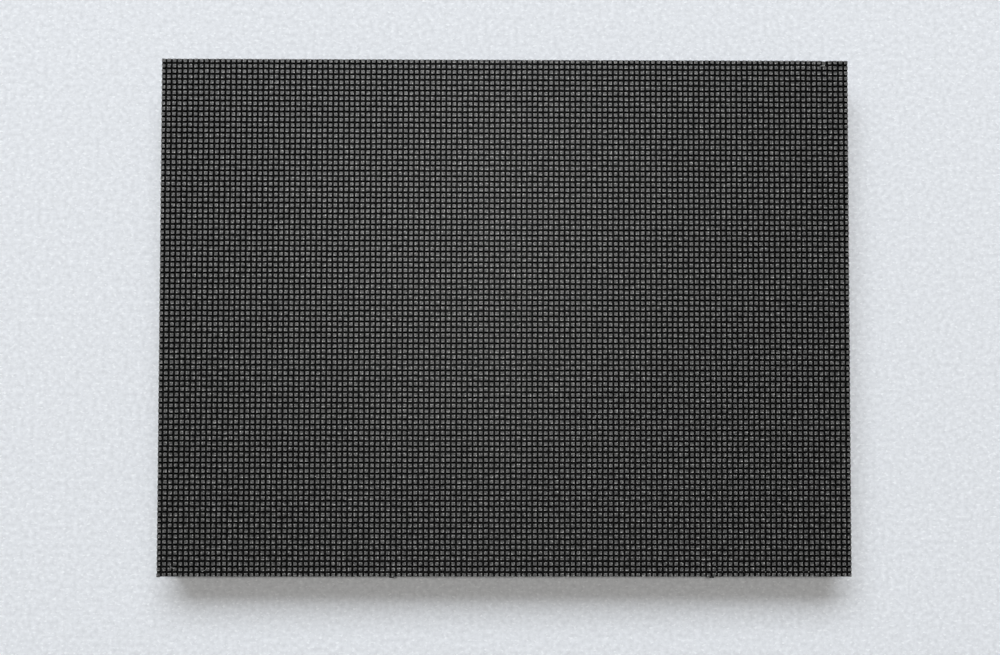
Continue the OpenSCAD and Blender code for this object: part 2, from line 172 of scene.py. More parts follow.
class MaskSettings(bpy.types.PropertyGroup):
    """Sizes and tones of the mask between the lamps, with painted shadow between the rows and painted light
    where the gaps cross.
    """
    height: length("Height", "Height of the mask over the board", 0.3)
    clearance: length("Clearance", "Gap between the mask and a lamp", 0.05)
    # Painted shade and light on the mask: the row gap tone is painted shadow, the crossing tone is painted
    # light, and the column gap tone lies between them
    painted_row_shadow: colour("Row gap", "Mask between one row of lamps and the next", (0.0003, 0.0003, 0.0003))
    column_gap: colour("Column gap", "Mask between the lamps of a row", (0.0035, 0.0035, 0.0032))
    painted_crossing_light: colour("Crossing", "Mask where the gaps cross", (0.0160, 0.0160, 0.0149))


class WearSettings(bpy.types.PropertyGroup):
    """The lost lamp, the pushed corner lamp and the specks on the face."""
    lost_column: whole("Lost column", "Column of the lost lamp, from the left", 124)
    lost_row: whole("Lost row", "Row of the lost lamp, from the top", 1)
    nick: place("Nick", "Width and depth of the nick in the board at the lost lamp", (1.3, 0.17))
    slit: place("Slit", "Width and depth of the slit in the nick", (0.4, 0.7))
    stub_reach: share("Stub reach", "Half the stub's side, as a share of a lamp's side", 0.42)
    stub_height: length("Stub height", "Height of the lost lamp's stub", 0.12)
    stub_tear: length("Stub tear", "How far the stub's torn top rises and falls", 0.07)
    torn_bit: place("Torn bit", "Where the largest torn bit lies, from the lost lamp", (0.05, -0.72))
    torn_reach: length("Torn reach", "Reach of the largest torn bit", 0.24)
    torn_count: whole("Torn count", "Smaller torn bits in a line", 4)
    torn_start: place("Torn start", "Where that line starts, from the lost lamp", (-1.1, -0.92))
    torn_step: place("Torn step", "From one torn bit to the next", (0.3, 0.03))
    corner_push: place("Corner push", "How far the lower left lamp is pushed outwards", (-0.09, -0.16))
    upper_lint: place("Upper lint", "Where the upper speck of lint lies", (-67.0, 67.7))
    lower_lint: place("Lower lint", "Where the lower speck of lint lies", (-54.5, -46.1))
    corner_lint: place("Corner lint", "Where the speck near the lower left corner lies", (-95.9, -71.9))
    edge_lint: place("Edge lint", "Where the speck near the lower edge lies", (-86.7, -73.3))
    crumb_reach: length("Crumb reach", "Reach of a smaller torn bit and of a speck of lint", 0.14)
    lint_sink: length("Lint sink", "How deep a speck of lint sits below the lamps' faces", 0.1)
    fibre_length: length("Fibre length", "Length of a fibre of lint", 1.3)
    fibre_thickness: length("Fibre thickness", "Thickness of a fibre of lint", 0.05)
    dust_from: length("Dust from", "Where the line of dust near the lower right corner starts", 58)
    dust_specks: whole("Dust specks", "Specks in the gaps near the lower right corner", 18)
    dust_least: length("Dust least", "Reach of the smallest speck of dust", 0.06)
    dust_most: length("Dust most", "Reach of the largest speck of dust", 0.13)
    seed: whole("Seed", "Start of the random draws", 11)


class BackSettings(bpy.types.PropertyGroup):
    """Edges and sizes of what stands on the tile's back."""
    frame_edge: length("Frame edge", "Rounding of the soft frame's edges", 0.35)
    metal_edge: length("Metal edge", "Rounding of the magnets' edges", 0.2)
    moulded_edge: length("Moulded edge", "Rounding of headers and capacitor bases", 0.12)
    pin_edge: length("Pin edge", "Rounding of header pins and capacitor cans", 0.1)
    fine_edge: length("Fine edge", "Rounding of the board, the screws and the driver chips", 0.05)
    lead_edge: length("Lead edge", "Rounding of leaded chips and their leads", 0.03)
    array_edge: length("Array edge", "Rounding of resistor arrays", 0.02)
    ceramic_edge: length("Ceramic edge", "Rounding of ceramic capacitors", 0.01)
    chips_in_bank: whole("Chips in a bank", "Driver chips in one bank", 8)
    lead_reach: length("Lead reach", "How far a chip's leads reach from its body", 1.0)
    ceramic_width: length("Ceramic width", "Width of a ceramic capacitor", 1.25)
    ceramic_body: length("Ceramic body", "Half the bare length of a ceramic capacitor", 0.59)
    array_size: place("Array size", "Length and width of a resistor array", (3.2, 1.6))
    array_body: length("Array body", "Half the bare width of a resistor array", 0.5)
    array_step: length("Array step", "Distance between resistor arrays that stand side by side", 4.6)


class SolderSettings(bpy.types.PropertyGroup):
    """Places and sizes of the solder joints on the tile's back."""
    pad: length("Pad", "Thickness of a joint's rim", 0.04)
    rise: length("Rise", "Height of a joint", 0.14)
    toe: share("Toe", "How far a joint reaches past a foot, as a share of the foot", 0.35)
    foot_draw: share("Foot draw", "How far a joint at a foot draws in, as a share of its width", 0.3)
    end_draw: share("End draw", "How far a joint at a part's end draws in, as a share of its length", 0.25)
    terminals: whole("Terminals", "Terminals on each side of a driver chip", 6)
    terminal_step: length("Terminal step", "Distance between the terminals of a driver chip", 0.55)
    terminal_width: length("Terminal width", "Width of a driver chip's terminal", 0.28)
    terminal_under: length("Terminal under", "How far a terminal reaches under its chip", 0.1)
    terminal_out: length("Terminal out", "How far a terminal stands out from its chip", 0.25)
    terminal_draw: length("Terminal draw", "How far the joint on a terminal draws in", 0.06)
    lead_foot: length("Lead foot", "Length of a joint under a chip's lead", 0.6)
    switch_leads: whole("Switch leads", "Leads on each side of a row switch", 8)
    switch_step: length("Switch step", "Distance between the leads of a row switch", 1.2)
    switch_width: length("Switch width", "Width of a joint under a row switch", 0.58)
    buffer_leads: whole("Buffer leads", "Leads on each side of a buffer", 10)
    buffer_step: length("Buffer step", "Distance between the leads of a buffer", 0.64)
    buffer_width: length("Buffer width", "Width of a joint under a buffer", 0.36)
    signal_pins: whole("Signal pins", "Pins in each row of a signal header", 8)
    signal_step: length("Signal step", "Distance between the pins of a signal header", 2.54)
    signal_width: length("Signal width", "Width of a joint at a signal pin", 1.0)
    power_pins: whole("Power pins", "Pins of the power header", 4)
    power_pin: length("Power pin", "Width of a power pin", 1.14)
    power_margin: length("Power margin", "Solder on each side of a power pin", 0.25)
    power_toe: length("Power toe", "Solder past a power pin's tail", 0.4)
    power_draw: length("Power draw", "How far the joint at a power pin draws in", 0.4)
    tail: length("Tail", "Length of a joint along a header pin's tail", 1.3)
    ceramic_ends: place("Ceramic ends", "From the capacitor's middle to a joint's two sides", (0.6, 1.25))
    ceramic_joint: length("Ceramic joint", "Width of a joint at a ceramic capacitor", 1.1)
    array_ends: place("Array ends", "From the array's middle to a joint's two sides", (0.5, 1.1))
    array_joint: length("Array joint", "Width of a joint at a resistor array", 0.44)
    resistors: whole("Resistors", "Resistors in an array", 4)
    resistor_step: length("Resistor step", "Distance between the resistors of an array", 0.8)
    can_reach: length("Can reach", "From a bulk capacitor's middle to the end of its foot", 3.7)
    can_foot: length("Can foot", "Length and width of a bulk capacitor's foot", 1.0)


class PrintSettings(bpy.types.PropertyGroup):
    """Sizes of the marks printed on the tile's back."""
    width: length("Width", "Width of a printed line", 0.2)
    thickness: length("Thickness", "Thickness of the print", 0.02)
    gap: length("Gap", "Gap between a chip and the line beside it", 0.55)
    bar_corner: share("Bar corner", "Rounding of a printed bar, as a share of its width", 0.4)
    dot_rim: share("Dot rim", "Rim of a printed dot, as a share of its radius", 0.35)
    dot_sink: share("Dot sink", "How far a dot's middle is sunk, as a share of the print's thickness", 0.5)
    driver_dot: length("Driver dot", "Radius of the dot on a driver chip", 0.28)
    driver_inset: length("Driver inset", "From a driver chip's sides to its dot", 0.64)
    switch_dot: length("Switch dot", "Radius of the dot on a row switch", 0.35)
    switch_across: share("Switch across", "A row switch's dot, as a share of half its width", 0.65)
    switch_along: share("Switch along", "A row switch's dot, as a share of half its length", 0.87)
    buffer_dot: length("Buffer dot", "Radius of the dot on a buffer", 0.28)
    buffer_inset: length("Buffer inset", "From a buffer's sides to its dot", 0.7)
    can_rim: length("Can rim", "Bare rim beside the dark mark on a can", 0.5)
    can_mark: share("Can mark", "Where a can's dark mark starts, as a share of its radius", 0.35)


class FinishSettings(bpy.types.PropertyGroup):
    """Colours of the finishes."""
    silicone: colour("Silicone", "Soft frame", (0.020, 0.020, 0.022))
    nickel: colour("Nickel", "Magnets", (0.60, 0.57, 0.52))
    zinc: colour("Zinc", "Screws", (0.52, 0.53, 0.55))
    tin: colour("Tin", "Leads, ends and solder", (0.66, 0.66, 0.65))
    gold: colour("Gold", "Signal pins and vias", (0.72, 0.50, 0.20))
    brass: colour("Brass", "Nuts", (0.62, 0.52, 0.32))
    epoxy: colour("Epoxy", "Chip bodies", (0.020, 0.020, 0.021))
    moulding: colour("Moulding", "Signal headers and capacitor bases", (0.016, 0.016, 0.017))
    ivory: colour("Ivory", "Power header", (0.66, 0.60, 0.46))
    aluminium: colour("Aluminium", "Capacitor cans", (0.74, 0.74, 0.75))
    ceramic: colour("Ceramic", "Ceramic capacitors", (0.28, 0.19, 0.11))
    glaze: colour("Glaze", "Resistor arrays and marks on cans", (0.022, 0.023, 0.026))
    solder_mask: colour("Solder mask", "Board faces", (0.010, 0.014, 0.012))
    laminate: colour("Laminate", "Board edges", (0.085, 0.078, 0.050))
    ink: colour("Ink", "Printed lines", (0.62, 0.62, 0.60))
    lint: colour("Lint", "Specks on the face", (0.62, 0.61, 0.58))
    dust: colour("Dust", "Dust on soft and moulded parts", (0.35, 0.34, 0.32))


class StageSettings(bpy.types.PropertyGroup):
    """Camera, light and floor."""
    lens: bpy.props.FloatProperty(name="Lens", description="Focal length", default=43.2, unit="CAMERA")
    sensor: bpy.props.FloatProperty(name="Sensor", description="Sensor width", default=36.0, unit="CAMERA")
    camera_place: place("Camera place", "Where the camera stands", (-4.27, -14.38, 357.56))
    camera_turn: bpy.props.FloatVectorProperty(
        name="Camera turn", description="How the camera leans", size=3,
        default=[math.radians(value) for value in (1.845, -0.46, 0.081)], subtype="EULER")
    clip_start: length("Clip start", "Nearest distance that the camera sees", 10)
    floor: colour("Floor", "Colour of the floor", (0.843, 0.845, 0.850))
    floor_size: length("Floor size", "Width of the floor", 3200)
    window: colour("Window", "Colour of the window light", (0.856, 0.918, 1.0))
    window_place: place("Window place", "Middle of the window light", (-480, 3290, 3060))
    window_size: place("Window size", "Width and height of the window light", (4760, 2100))
    window_power: power("Window power", "Power of the window light", 200)
    room: colour("Room", "Colour of the light from above", (1.0, 0.99, 0.97))
    room_strength: share("Room strength", "Strength of the light from above", 0.11)
    room_from: share("Room from", "Sine of the height from which there is only light from above", 0.2)
    walls: colour("Walls", "Colour of the pale walls round the tile", (0.68, 0.71, 0.75))
    walls_to: share("Walls to", "Sine of the height up to which the walls have their full colour", 0.13)
    ceiling_place: place("Ceiling place", "Middle of the ceiling light", (-70, 260, 1800))
    ceiling_size: place("Ceiling size", "Width and length of the ceiling light", (150, 150))
    ceiling_power: power("Ceiling power", "Power of the ceiling light", 9.3)


class TileSettings(bpy.types.PropertyGroup):
    """All settings of the tile."""
    lamps: bpy.props.PointerProperty(type=LampSettings)
    mask: bpy.props.PointerProperty(type=MaskSettings)
    wear: bpy.props.PointerProperty(type=WearSettings)
    back: bpy.props.PointerProperty(type=BackSettings)
    solder: bpy.props.PointerProperty(type=SolderSettings)
    print: bpy.props.PointerProperty(type=PrintSettings)
    finishes: bpy.props.PointerProperty(type=FinishSettings)
    stage: bpy.props.PointerProperty(type=StageSettings)


def tile():
    """The tile's settings."""
    return bpy.context.scene.led_tile


def lamp_pitch():
    """Distance between lamps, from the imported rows."""
    lamps = tile().lamps
    return (lamp_high.x - lamp_low.x - lamps.side) / (lamps.columns - 1)


def lamp_centre(column, row):
    """Where a lamp stands, counted from the left and from the top."""
    half = tile().lamps.side / 2
    pitch = lamp_pitch()
    x = lamp_low.x + half + (column - 1) * pitch
    y = lamp_high.y - half - (row - 1) * pitch
    return Vector((x, y, board_top))


def middle(node):
    """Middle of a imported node."""
    low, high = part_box(node)
    return (low + high) / 2


def half_width(node):
    """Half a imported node's width, from left to right."""
    low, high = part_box(node)
    return (high.x - low.x) / 2


def numbered(prefix):
    """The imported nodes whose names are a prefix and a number."""
    return [node for node in sorted(NODES) if node.startswith(prefix) and node[len(prefix):].isdigit()]


# Selecting and shaping

def deselect_all():
    """Leaves nothing selected, so the next operator acts only on what it is given."""
    if bpy.context.object and bpy.context.object.mode != "OBJECT":
        bpy.ops.object.mode_set(mode="OBJECT")
    bpy.ops.object.select_all(action="DESELECT")


def make_active(piece):
    """Selects one piece and makes it the active one."""
    deselect_all()
    piece.select_set(True)
    bpy.context.view_layer.objects.active = piece


def rename(piece, name):
    """Names a piece or a light, and its data."""
    piece.name = name
    piece.data.name = name


def apply_place(piece):
    """Puts a piece's place, turn and size into its mesh."""
    make_active(piece)
    bpy.ops.object.transform_apply(location=True, rotation=True, scale=True)


def add_block(name, low, high):
    """A box between two corners, ready to be shaped."""
    low = Vector(low)
    high = Vector(high)
    deselect_all()
    bpy.ops.mesh.primitive_cube_add(size=1.0, location=(low + high) / 2)
    block = bpy.context.object
    rename(block, name)
    block.scale = high - low
    apply_place(block)
    return block


def add_sheet(name, low, high, level, columns=1, rows=1):
    """A flat grid between two corners, ready to be shaped."""
    deselect_all()
    centre = ((low[0] + high[0]) / 2, (low[1] + high[1]) / 2, level)
    bpy.ops.mesh.primitive_grid_add(x_subdivisions=columns, y_subdivisions=rows, size=1.0, location=centre)
    sheet = bpy.context.object
    rename(sheet, name)
    sheet.scale = (high[0] - low[0], high[1] - low[1], 1)
    apply_place(sheet)
    return sheet


def add_disc(name, sides, radius, thickness, x, y, top):
    """A thin round plate that hangs from a level, ready to be shaped."""
    deselect_all()
    bpy.ops.mesh.primitive_cylinder_add(
        vertices=sides, radius=radius, depth=thickness, location=(x, y, top - thickness / 2))
    disc = bpy.context.object
    rename(disc, name)
    apply_place(disc)
    return disc


def select_parts(piece, mode, test):
    """In edit mode, selects the points, edges or faces that pass a test and nothing else."""
    make_active(piece)
    bpy.ops.object.mode_set(mode="EDIT")
    bpy.ops.mesh.select_mode(type=mode)
    bpy.ops.mesh.select_all(action="DESELECT")
    shape = bmesh.from_edit_mesh(piece.data)
    parts = {"VERT": shape.verts, "EDGE": shape.edges, "FACE": shape.faces}[mode]
    for part in parts:
        part.select_set(bool(test(part)))
    bmesh.update_edit_mesh(piece.data)


def select_all_parts(piece):
    """In edit mode, selects the whole mesh."""
    make_active(piece)
    bpy.ops.object.mode_set(mode="EDIT")
    bpy.ops.mesh.select_all(action="SELECT")


def leave_edit():
    """Goes back to object mode."""
    bpy.ops.object.mode_set(mode="OBJECT")


def is_upright(edge):
    """Whether an edge stands on end."""
    first, second = (point.co for point in edge.verts)
    return (first - second).xy.length < abs(first.z - second.z)


def looks_up(face):
    """Whether a face looks towards the lamps' side."""
    return face.normal.z > FACING


def looks_down(face):
    """Whether a face looks away from the lamps' side."""
    return face.normal.z < -FACING


def looks_sideways(face):
    """Whether a face belongs to a side."""
    return abs(face.normal.z) < FACING


def apply_modifier(piece, kind, **values):
    """Adds a modifier with these values and applies it."""
    make_active(piece)
    modifier = piece.modifiers.new(kind.lower(), kind)
    for name, value in values.items():
        setattr(modifier, name, value)
    bpy.ops.object.modifier_apply(modifier=modifier.name)


def repeat(piece, count, step):
    """Copies a piece count times, a step apart, into one mesh."""
    apply_modifier(
        piece, "ARRAY", use_relative_offset=False, use_constant_offset=True,
        constant_offset_displace=step, count=count)


def copy_turned(piece, turn, centre):
    """A copy with its own mesh, turned about a centre."""
    make_active(piece)
    bpy.ops.object.duplicate()
    copy = bpy.context.object
    copy.data.name = copy.name
    select_all_parts(copy)
    bpy.ops.transform.rotate(value=turn, orient_axis="Z", center_override=centre)
    leave_edit()
    return copy


def join(pieces, name):
    """Makes one piece of several."""
    deselect_all()
    for piece in pieces:
        piece.select_set(True)
    bpy.context.view_layer.objects.active = pieces[0]
    bpy.ops.object.join()
    rename(pieces[0], name)
    return pieces[0]


def paint(piece, finish, test=None):
    """Gives a piece a finish, or only the faces that pass a test."""
    piece.data.materials.append(bpy.data.materials[finish])
    if test:
        select_parts(piece, "FACE", test)
        piece.active_material_index = len(piece.data.materials) - 1
        bpy.ops.object.material_slot_assign()
        leave_edit()


def finish_piece(piece, slot, *replaced):
    """Makes a finished piece ride on the root and hides the solids that it stands for; the slot it is given
    is not used.
    """
    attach(piece, "root")
    if replaced:
        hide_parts(*replaced)


def soften(node, slot, finish, edge=0, segments=1):
    """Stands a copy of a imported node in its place, with its edges broken if an edge is given."""
    piece = bpy.data.objects.new("soft_" + node, NODES[node].data.copy())
    piece.data.name = piece.name
    piece.data.materials.clear()
    bpy.context.scene.collection.objects.link(piece)
    select_all_parts(piece)
    bpy.ops.mesh.customdata_custom_splitnormals_clear()
    bpy.ops.mesh.remove_doubles(threshold=MERGE_DISTANCE)
    bpy.ops.mesh.dissolve_limited(angle_limit=FLAT_ANGLE)
    leave_edit()
    if edge:
        apply_modifier(
            piece, "BEVEL", width=edge, segments=segments, limit_method="ANGLE", angle_limit=BEVEL_ANGLE)
    make_active(piece)
    bpy.ops.object.shade_smooth_by_angle(angle=CRISP_ANGLE)
    paint(piece, finish)
    finish_piece(piece, slot, node)
    return piece


# Node helpers

def feed(tree, socket, value):
    """Joins a socket to another one, or sets it to a plain value."""
    if isinstance(value, bpy.types.NodeSocket):
        tree.links.new(value, socket)
    elif socket.type == "RGBA":
        socket.default_value = (*value[:3], 1.0)
    else:
        socket.default_value = value


def add_node(tree, kind, inputs, **values):
    """A node with its settings and its inputs, given by name or number."""
    node = tree.nodes.new(kind)
    for name, value in values.items():
        setattr(node, name, value)
    for name, value in inputs.items():
        feed(tree, node.inputs[name], value)
    return node


def add_math(tree, operation, *values):
    """A Math node fed by sockets or numbers."""
    node = add_node(tree, "ShaderNodeMath", dict(enumerate(values)), operation=operation)
    return node.outputs["Value"]


def add_vector(tree, operation, *values, output="Vector"):
    """A Vector Math node fed by sockets or vectors."""
    node = add_node(tree, "ShaderNodeVectorMath", dict(enumerate(values)), operation=operation)
    return node.outputs[output]


def add_noise(tree, vector, scale, detail):
    """Noise at a scale in cycles per metre."""
    inputs = {"Vector": vector, "Scale": scale, "Detail": detail}
    return add_node(tree, "ShaderNodeTexNoise", inputs).outputs["Fac"]


def add_draw(tree, vector):
    """Random values that hold over each whole step of a vector."""
    return add_node(tree, "ShaderNodeTexWhiteNoise", {"Vector": vector}, noise_dimensions="3D").outputs


def add_split(tree, vector):
    """A vector's three parts."""
    return add_node(tree, "ShaderNodeSeparateXYZ", {"Vector": vector}).outputs


def add_bump(tree, height, strength, distance):
    """A bumped normal from a height."""
    inputs = {"Height": height, "Strength": strength, "Distance": distance}
    return add_node(tree, "ShaderNodeBump", inputs).outputs["Normal"]


def add_ramp(tree, factor, *stops):
    """A colour ramp from (place, colour) stops."""
    node = add_node(tree, "ShaderNodeValToRGB", {"Fac": factor})
    ramp = node.color_ramp
    while len(ramp.elements) < len(stops):
        ramp.elements.new(0.5)
    for element, (where, value) in zip(ramp.elements, stops):
        element.position = where
        element.color = (*value[:3], 1.0)
    return node.outputs["Color"]


def scaled(value, factor):
    """A colour made lighter or darker."""
    return [min(1.0, factor * part) for part in value]


def add_tones(tree, factor, base, *stops):
    """A ramp of lighter and darker tones of one colour, from (place, share) stops."""
    return add_ramp(tree, factor, *((where, scaled(base, part)) for where, part in stops))


def add_mix(tree, factor, first, second, blend="MIX"):
    """A mix of two colours, whose sockets are given by number because other kinds share their names."""
    inputs = {0: factor, 6: first, 7: second}
    return add_node(tree, "ShaderNodeMix", inputs, data_type="RGBA", blend_type=blend).outputs[2]


def object_place(tree):
    """The surface point in the tile's own frame."""
    return tree.nodes.new("ShaderNodeTexCoord").outputs["Object"]


def new_group(name, inputs, outputs):
    """An empty node group with named sockets, and its input and output nodes."""
    group = bpy.data.node_groups.new(name, "ShaderNodeTree")
    for socket in inputs:
        group.interface.new_socket(socket, in_out="INPUT", socket_type="NodeSocketFloat")
    for socket, kind in outputs.items():
        group.interface.new_socket(socket, in_out="OUTPUT", socket_type="NodeSocket" + kind)
    return group, group.nodes.new("NodeGroupInput").outputs, group.nodes.new("NodeGroupOutput").inputs


def add_group(tree, name, **values):
    """Places a shared effect in a material with its own values."""
    node = tree.nodes.new("ShaderNodeGroup")
    node.node_tree = bpy.data.node_groups[name]
    for socket, value in values.items():
        feed(tree, node.inputs[socket], value)
    return node.outputs


def new_material(name):
    """A new node material: its tree and the inputs of its Principled shader."""
    material = bpy.data.materials.new(name)
    material.use_nodes = True
    tree = material.node_tree
    tree.nodes.clear()
    output = tree.nodes.new("ShaderNodeOutputMaterial")
    shader = tree.nodes.new("ShaderNodeBsdfPrincipled")
    tree.links.new(shader.outputs["BSDF"], output.inputs["Surface"])
    return tree, shader.inputs


# Shared effects

def make_lamp_cell():
    """Each lamp's own random values, the place inside its cell and a painted shading of its own from side to
    side.
    """
    outputs = {name: "Float" for name in ("Random", "Second", "Radius", "Across", "Rise", "Lean")}
    group, _, output = new_group("lamp_cell", (), outputs)
    pitch = lamp_pitch()
    steps = add_vector(group, "MULTIPLY", object_place(group), (1 / pitch, 1 / pitch, 0))
    inside = add_vector(group, "SUBTRACT", add_vector(group, "FRACTION", steps), (0.5, 0.5, 0))
    draw = add_draw(group, add_vector(group, "FLOOR", steps))
    way = add_vector(group, "SUBTRACT", draw["Color"], (0.5, 0.5, 0.5))
    split = add_node(group, "ShaderNodeSeparateColor", {"Color": draw["Color"]})
    sides = add_split(group, inside)
    group.links.new(draw["Value"], output["Random"])
    group.links.new(split.outputs["Blue"], output["Second"])
    group.links.new(add_vector(group, "LENGTH", inside, output="Value"), output["Radius"])
    group.links.new(add_math(group, "ABSOLUTE", sides["X"]), output["Across"])
    group.links.new(add_math(group, "ADD", sides["Y"], 0.5), output["Rise"])
    group.links.new(add_vector(group, "DOT_PRODUCT", inside, way, output="Value"), output["Lean"])


def make_grain():
    """Fine grain over broad blotches, as a tone, a gloss mask and a bumped normal."""
    outputs = {"Tone": "Float", "Gloss": "Float", "Normal": "Vector"}
    group, value, output = new_group("grain", ("Fine", "Broad", "Bump"), outputs)
    where = object_place(group)
    fine = add_noise(group, where, value["Fine"], detail=3)
    broad = add_noise(group, where, value["Broad"], detail=3)
    tone = add_math(group, "MULTIPLY", add_math(group, "ADD", fine, broad), 0.5)
    normal = add_bump(group, fine, value["Bump"], distance=0.05 * MM)
    group.links.new(tone, output["Tone"])
    group.links.new(broad, output["Gloss"])
    group.links.new(normal, output["Normal"])


def make_dust():
    """Pale dust that gathers in patches, as a mask."""
    speck_level = 0.62
    group, value, output = new_group("dust", ("Amount",), {"Mask": "Float"})
    where = object_place(group)
    patches = add_noise(group, where, scale=60, detail=2)
    specks = add_noise(group, where, scale=2400, detail=1)
    specks = add_math(group, "GREATER_THAN", specks, speck_level)
    mask = add_math(group, "MULTIPLY", specks, patches)
    group.links.new(add_math(group, "MULTIPLY", mask, value["Amount"]), output["Mask"])


def grained(
        name, base, roughness, fine=2500, broad=120, bump=0.3, spread=0.2,
        metallic=0.0, specular=0.5, dust=0.0):
    """A finish whose colour, gloss and surface vary with the shared grain, with dust if it is asked for."""
    tree, shader = new_material(name)
    grain = add_group(tree, "grain", Fine=fine, Broad=broad, Bump=bump)
    tone = add_tones(tree, grain["Tone"], base, (GRAIN_LOW, 1 - spread), (GRAIN_HIGH, 1 + spread))
    if dust:
        mask = add_group(tree, "dust", Amount=dust)["Mask"]
        tone = add_mix(tree, mask, tone, tile().finishes.dust)
    tree.links.new(tone, shader["Base Color"])
    gloss = add_math(tree, "MULTIPLY_ADD", grain["Gloss"], GRAIN_GLOSS, roughness - GRAIN_GLOSS / 2)
    tree.links.new(gloss, shader["Roughness"])
    tree.links.new(grain["Normal"], shader["Normal"])
    shader["Metallic"].default_value = metallic
    shader["Specular IOR Level"].default_value = specular


# Finishes

def frosted_resin():
    """Frosted grey lamp faces: each has its own tone and painted shading from side to side, a dark die and a
    painted band of light along its lower part.
    """
    painted_shading_contrast = 4.6
    cloud_contrast = 6.0
    cloud_start = -2.3
    darkest_cloud = 0.2
    faintest_die = 0.4
    die_tone = (0.03, 0.03, 0.03)
    painted_rim_light_stops = ((0.18, 0.55), (0.26, 1.0), (0.42, 0.75), (0.62, 0.75), (0.74, 0.88), (0.83, 0.75))
    tree, shader = new_material("frosted_resin")
    cell = add_group(tree, "lamp_cell")
    where = object_place(tree)
    tone = add_tones(tree, cell["Random"], tile().lamps.resin, (0.0, 1.02), (0.5, 1.1), (1.0, 1.2))
    # Painted shading: each lamp is lighter towards one random side and darker towards the other
    lean = add_math(tree, "MULTIPLY_ADD", cell["Lean"], painted_shading_contrast, 1.0)
    # Painted light and shade from each lamp's bottom to its top: dark at the lower edge, brightest in a band
    # just above it, with a fainter band near the top
    rim = add_tones(tree, cell["Rise"], WHITE, *painted_rim_light_stops)
    cloud = add_noise(tree, where, scale=3200, detail=1)
    cloud = add_math(tree, "MULTIPLY_ADD", cloud, cloud_contrast, cloud_start)
    cloud = add_math(tree, "MAXIMUM", cloud, darkest_cloud)
    for effect in (lean, rim, cloud):
        tone = add_mix(tree, 1.0, tone, effect, "MULTIPLY")
    die = add_tones(tree, cell["Radius"], WHITE, (0.09, 0.95), (0.24, 0))
    depth = add_math(tree, "MULTIPLY_ADD", cell["Second"], 1 - faintest_die, faintest_die)
    tone = add_mix(tree, add_math(tree, "MULTIPLY", die, depth), tone, die_tone)
    tree.links.new(tone, shader["Base Color"])
    grain = add_noise(tree, where, scale=5200, detail=3)
    normal = add_bump(tree, grain, strength=0.3, distance=0.02 * MM)
    tree.links.new(normal, shader["Normal"])
    shader["Roughness"].default_value = 0.45
    shader["Specular IOR Level"].default_value = 0.62


def matt_mask():
    """Matt black mask with painted shade: darkest, as painted shadow, between one row and the next, and
    greyest, as painted light, where the gaps cross.
    """
    mask = tile().mask
    gap_from = 0.31
    gap_full = 0.38
    tree, shader = new_material("matt_mask")
    cell = add_group(tree, "lamp_cell")
    grain = add_group(tree, "grain", Fine=900, Broad=120, Bump=0.3)
    # Painted shadow: the darkest tone lies in the gaps between rows, where the lamps' shadows fall
    tone = add_ramp(tree, cell["Across"], (gap_from, mask.painted_row_shadow), (gap_full, mask.column_gap))
    down = add_math(tree, "ABSOLUTE", add_math(tree, "SUBTRACT", cell["Rise"], 0.5))
    corner = add_math(tree, "MINIMUM", cell["Across"], down)
    # Painted light: a lighter tone where the gaps cross, where light reaches the mask
    painted_crossing_light = add_ramp(tree, corner, (gap_from, BLACK), (gap_full, WHITE))
    tone = add_mix(tree, painted_crossing_light, tone, mask.painted_crossing_light)
    shade = add_tones(tree, grain["Tone"], WHITE, (GRAIN_LOW, 0.65), (GRAIN_HIGH, 1))
    tree.links.new(add_mix(tree, 1.0, tone, shade, "MULTIPLY"), shader["Base Color"])
    tree.links.new(grain["Normal"], shader["Normal"])
    shader["Roughness"].default_value = 0.75
    shader["Specular IOR Level"].default_value = 0.03


def add_traces(tree, where):
    """A mask of thin lines that run one way over each block of lamps, with many left out."""
    lamps_in_block = 4
    lines_in_pitch = 3
    half_line = 0.17
    left_out = 0.45
    block = lamps_in_block * lamp_pitch()
    blocks = add_vector(tree, "FLOOR", add_vector(tree, "MULTIPLY", where, (1 / block, 1 / block, 0)))
    lengthwise = add_math(tree, "GREATER_THAN", add_draw(tree, blocks)["Value"], 0.5)
    split = add_split(tree, where)
    swap = {0: lengthwise, 2: split["X"], 3: split["Y"]}
    across = add_node(tree, "ShaderNodeMix", swap, data_type="FLOAT").outputs[0]
    across = add_math(tree, "MULTIPLY", across, lines_in_pitch / lamp_pitch())
    line = add_math(tree, "ABSOLUTE", add_math(tree, "SUBTRACT", add_math(tree, "FRACT", across), 0.5))
    number = add_node(tree, "ShaderNodeCombineXYZ", {"Z": add_math(tree, "FLOOR", across)})
    draw = add_draw(tree, add_vector(tree, "ADD", blocks, number.outputs["Vector"]))
    kept = add_math(tree, "GREATER_THAN", draw["Value"], left_out)
    return add_math(tree, "MULTIPLY", add_math(tree, "LESS_THAN", line, half_line), kept)


def add_vias(tree, where):
    """A mask of small rings beside some of the lamps."""
    via_place = (0.3, 0.7, 0)
    ring = 0.1
    hole = 0.045
    left_out = 0.6
    pitch = lamp_pitch()
    steps = add_vector(tree, "MULTIPLY", where, (1 / pitch, 1 / pitch, 0))
    inside = add_vector(tree, "SUBTRACT", add_vector(tree, "FRACTION", steps), via_place)
    radius = add_vector(tree, "LENGTH", inside, output="Value")
    draw = add_draw(tree, add_vector(tree, "FLOOR", steps))
    some = add_math(tree, "GREATER_THAN", draw["Value"], left_out)
    rings = add_math(
        tree, "MULTIPLY",
        add_math(tree, "LESS_THAN", radius, ring), add_math(tree, "GREATER_THAN", radius, hole))
    return add_math(tree, "MULTIPLY", rings, some)


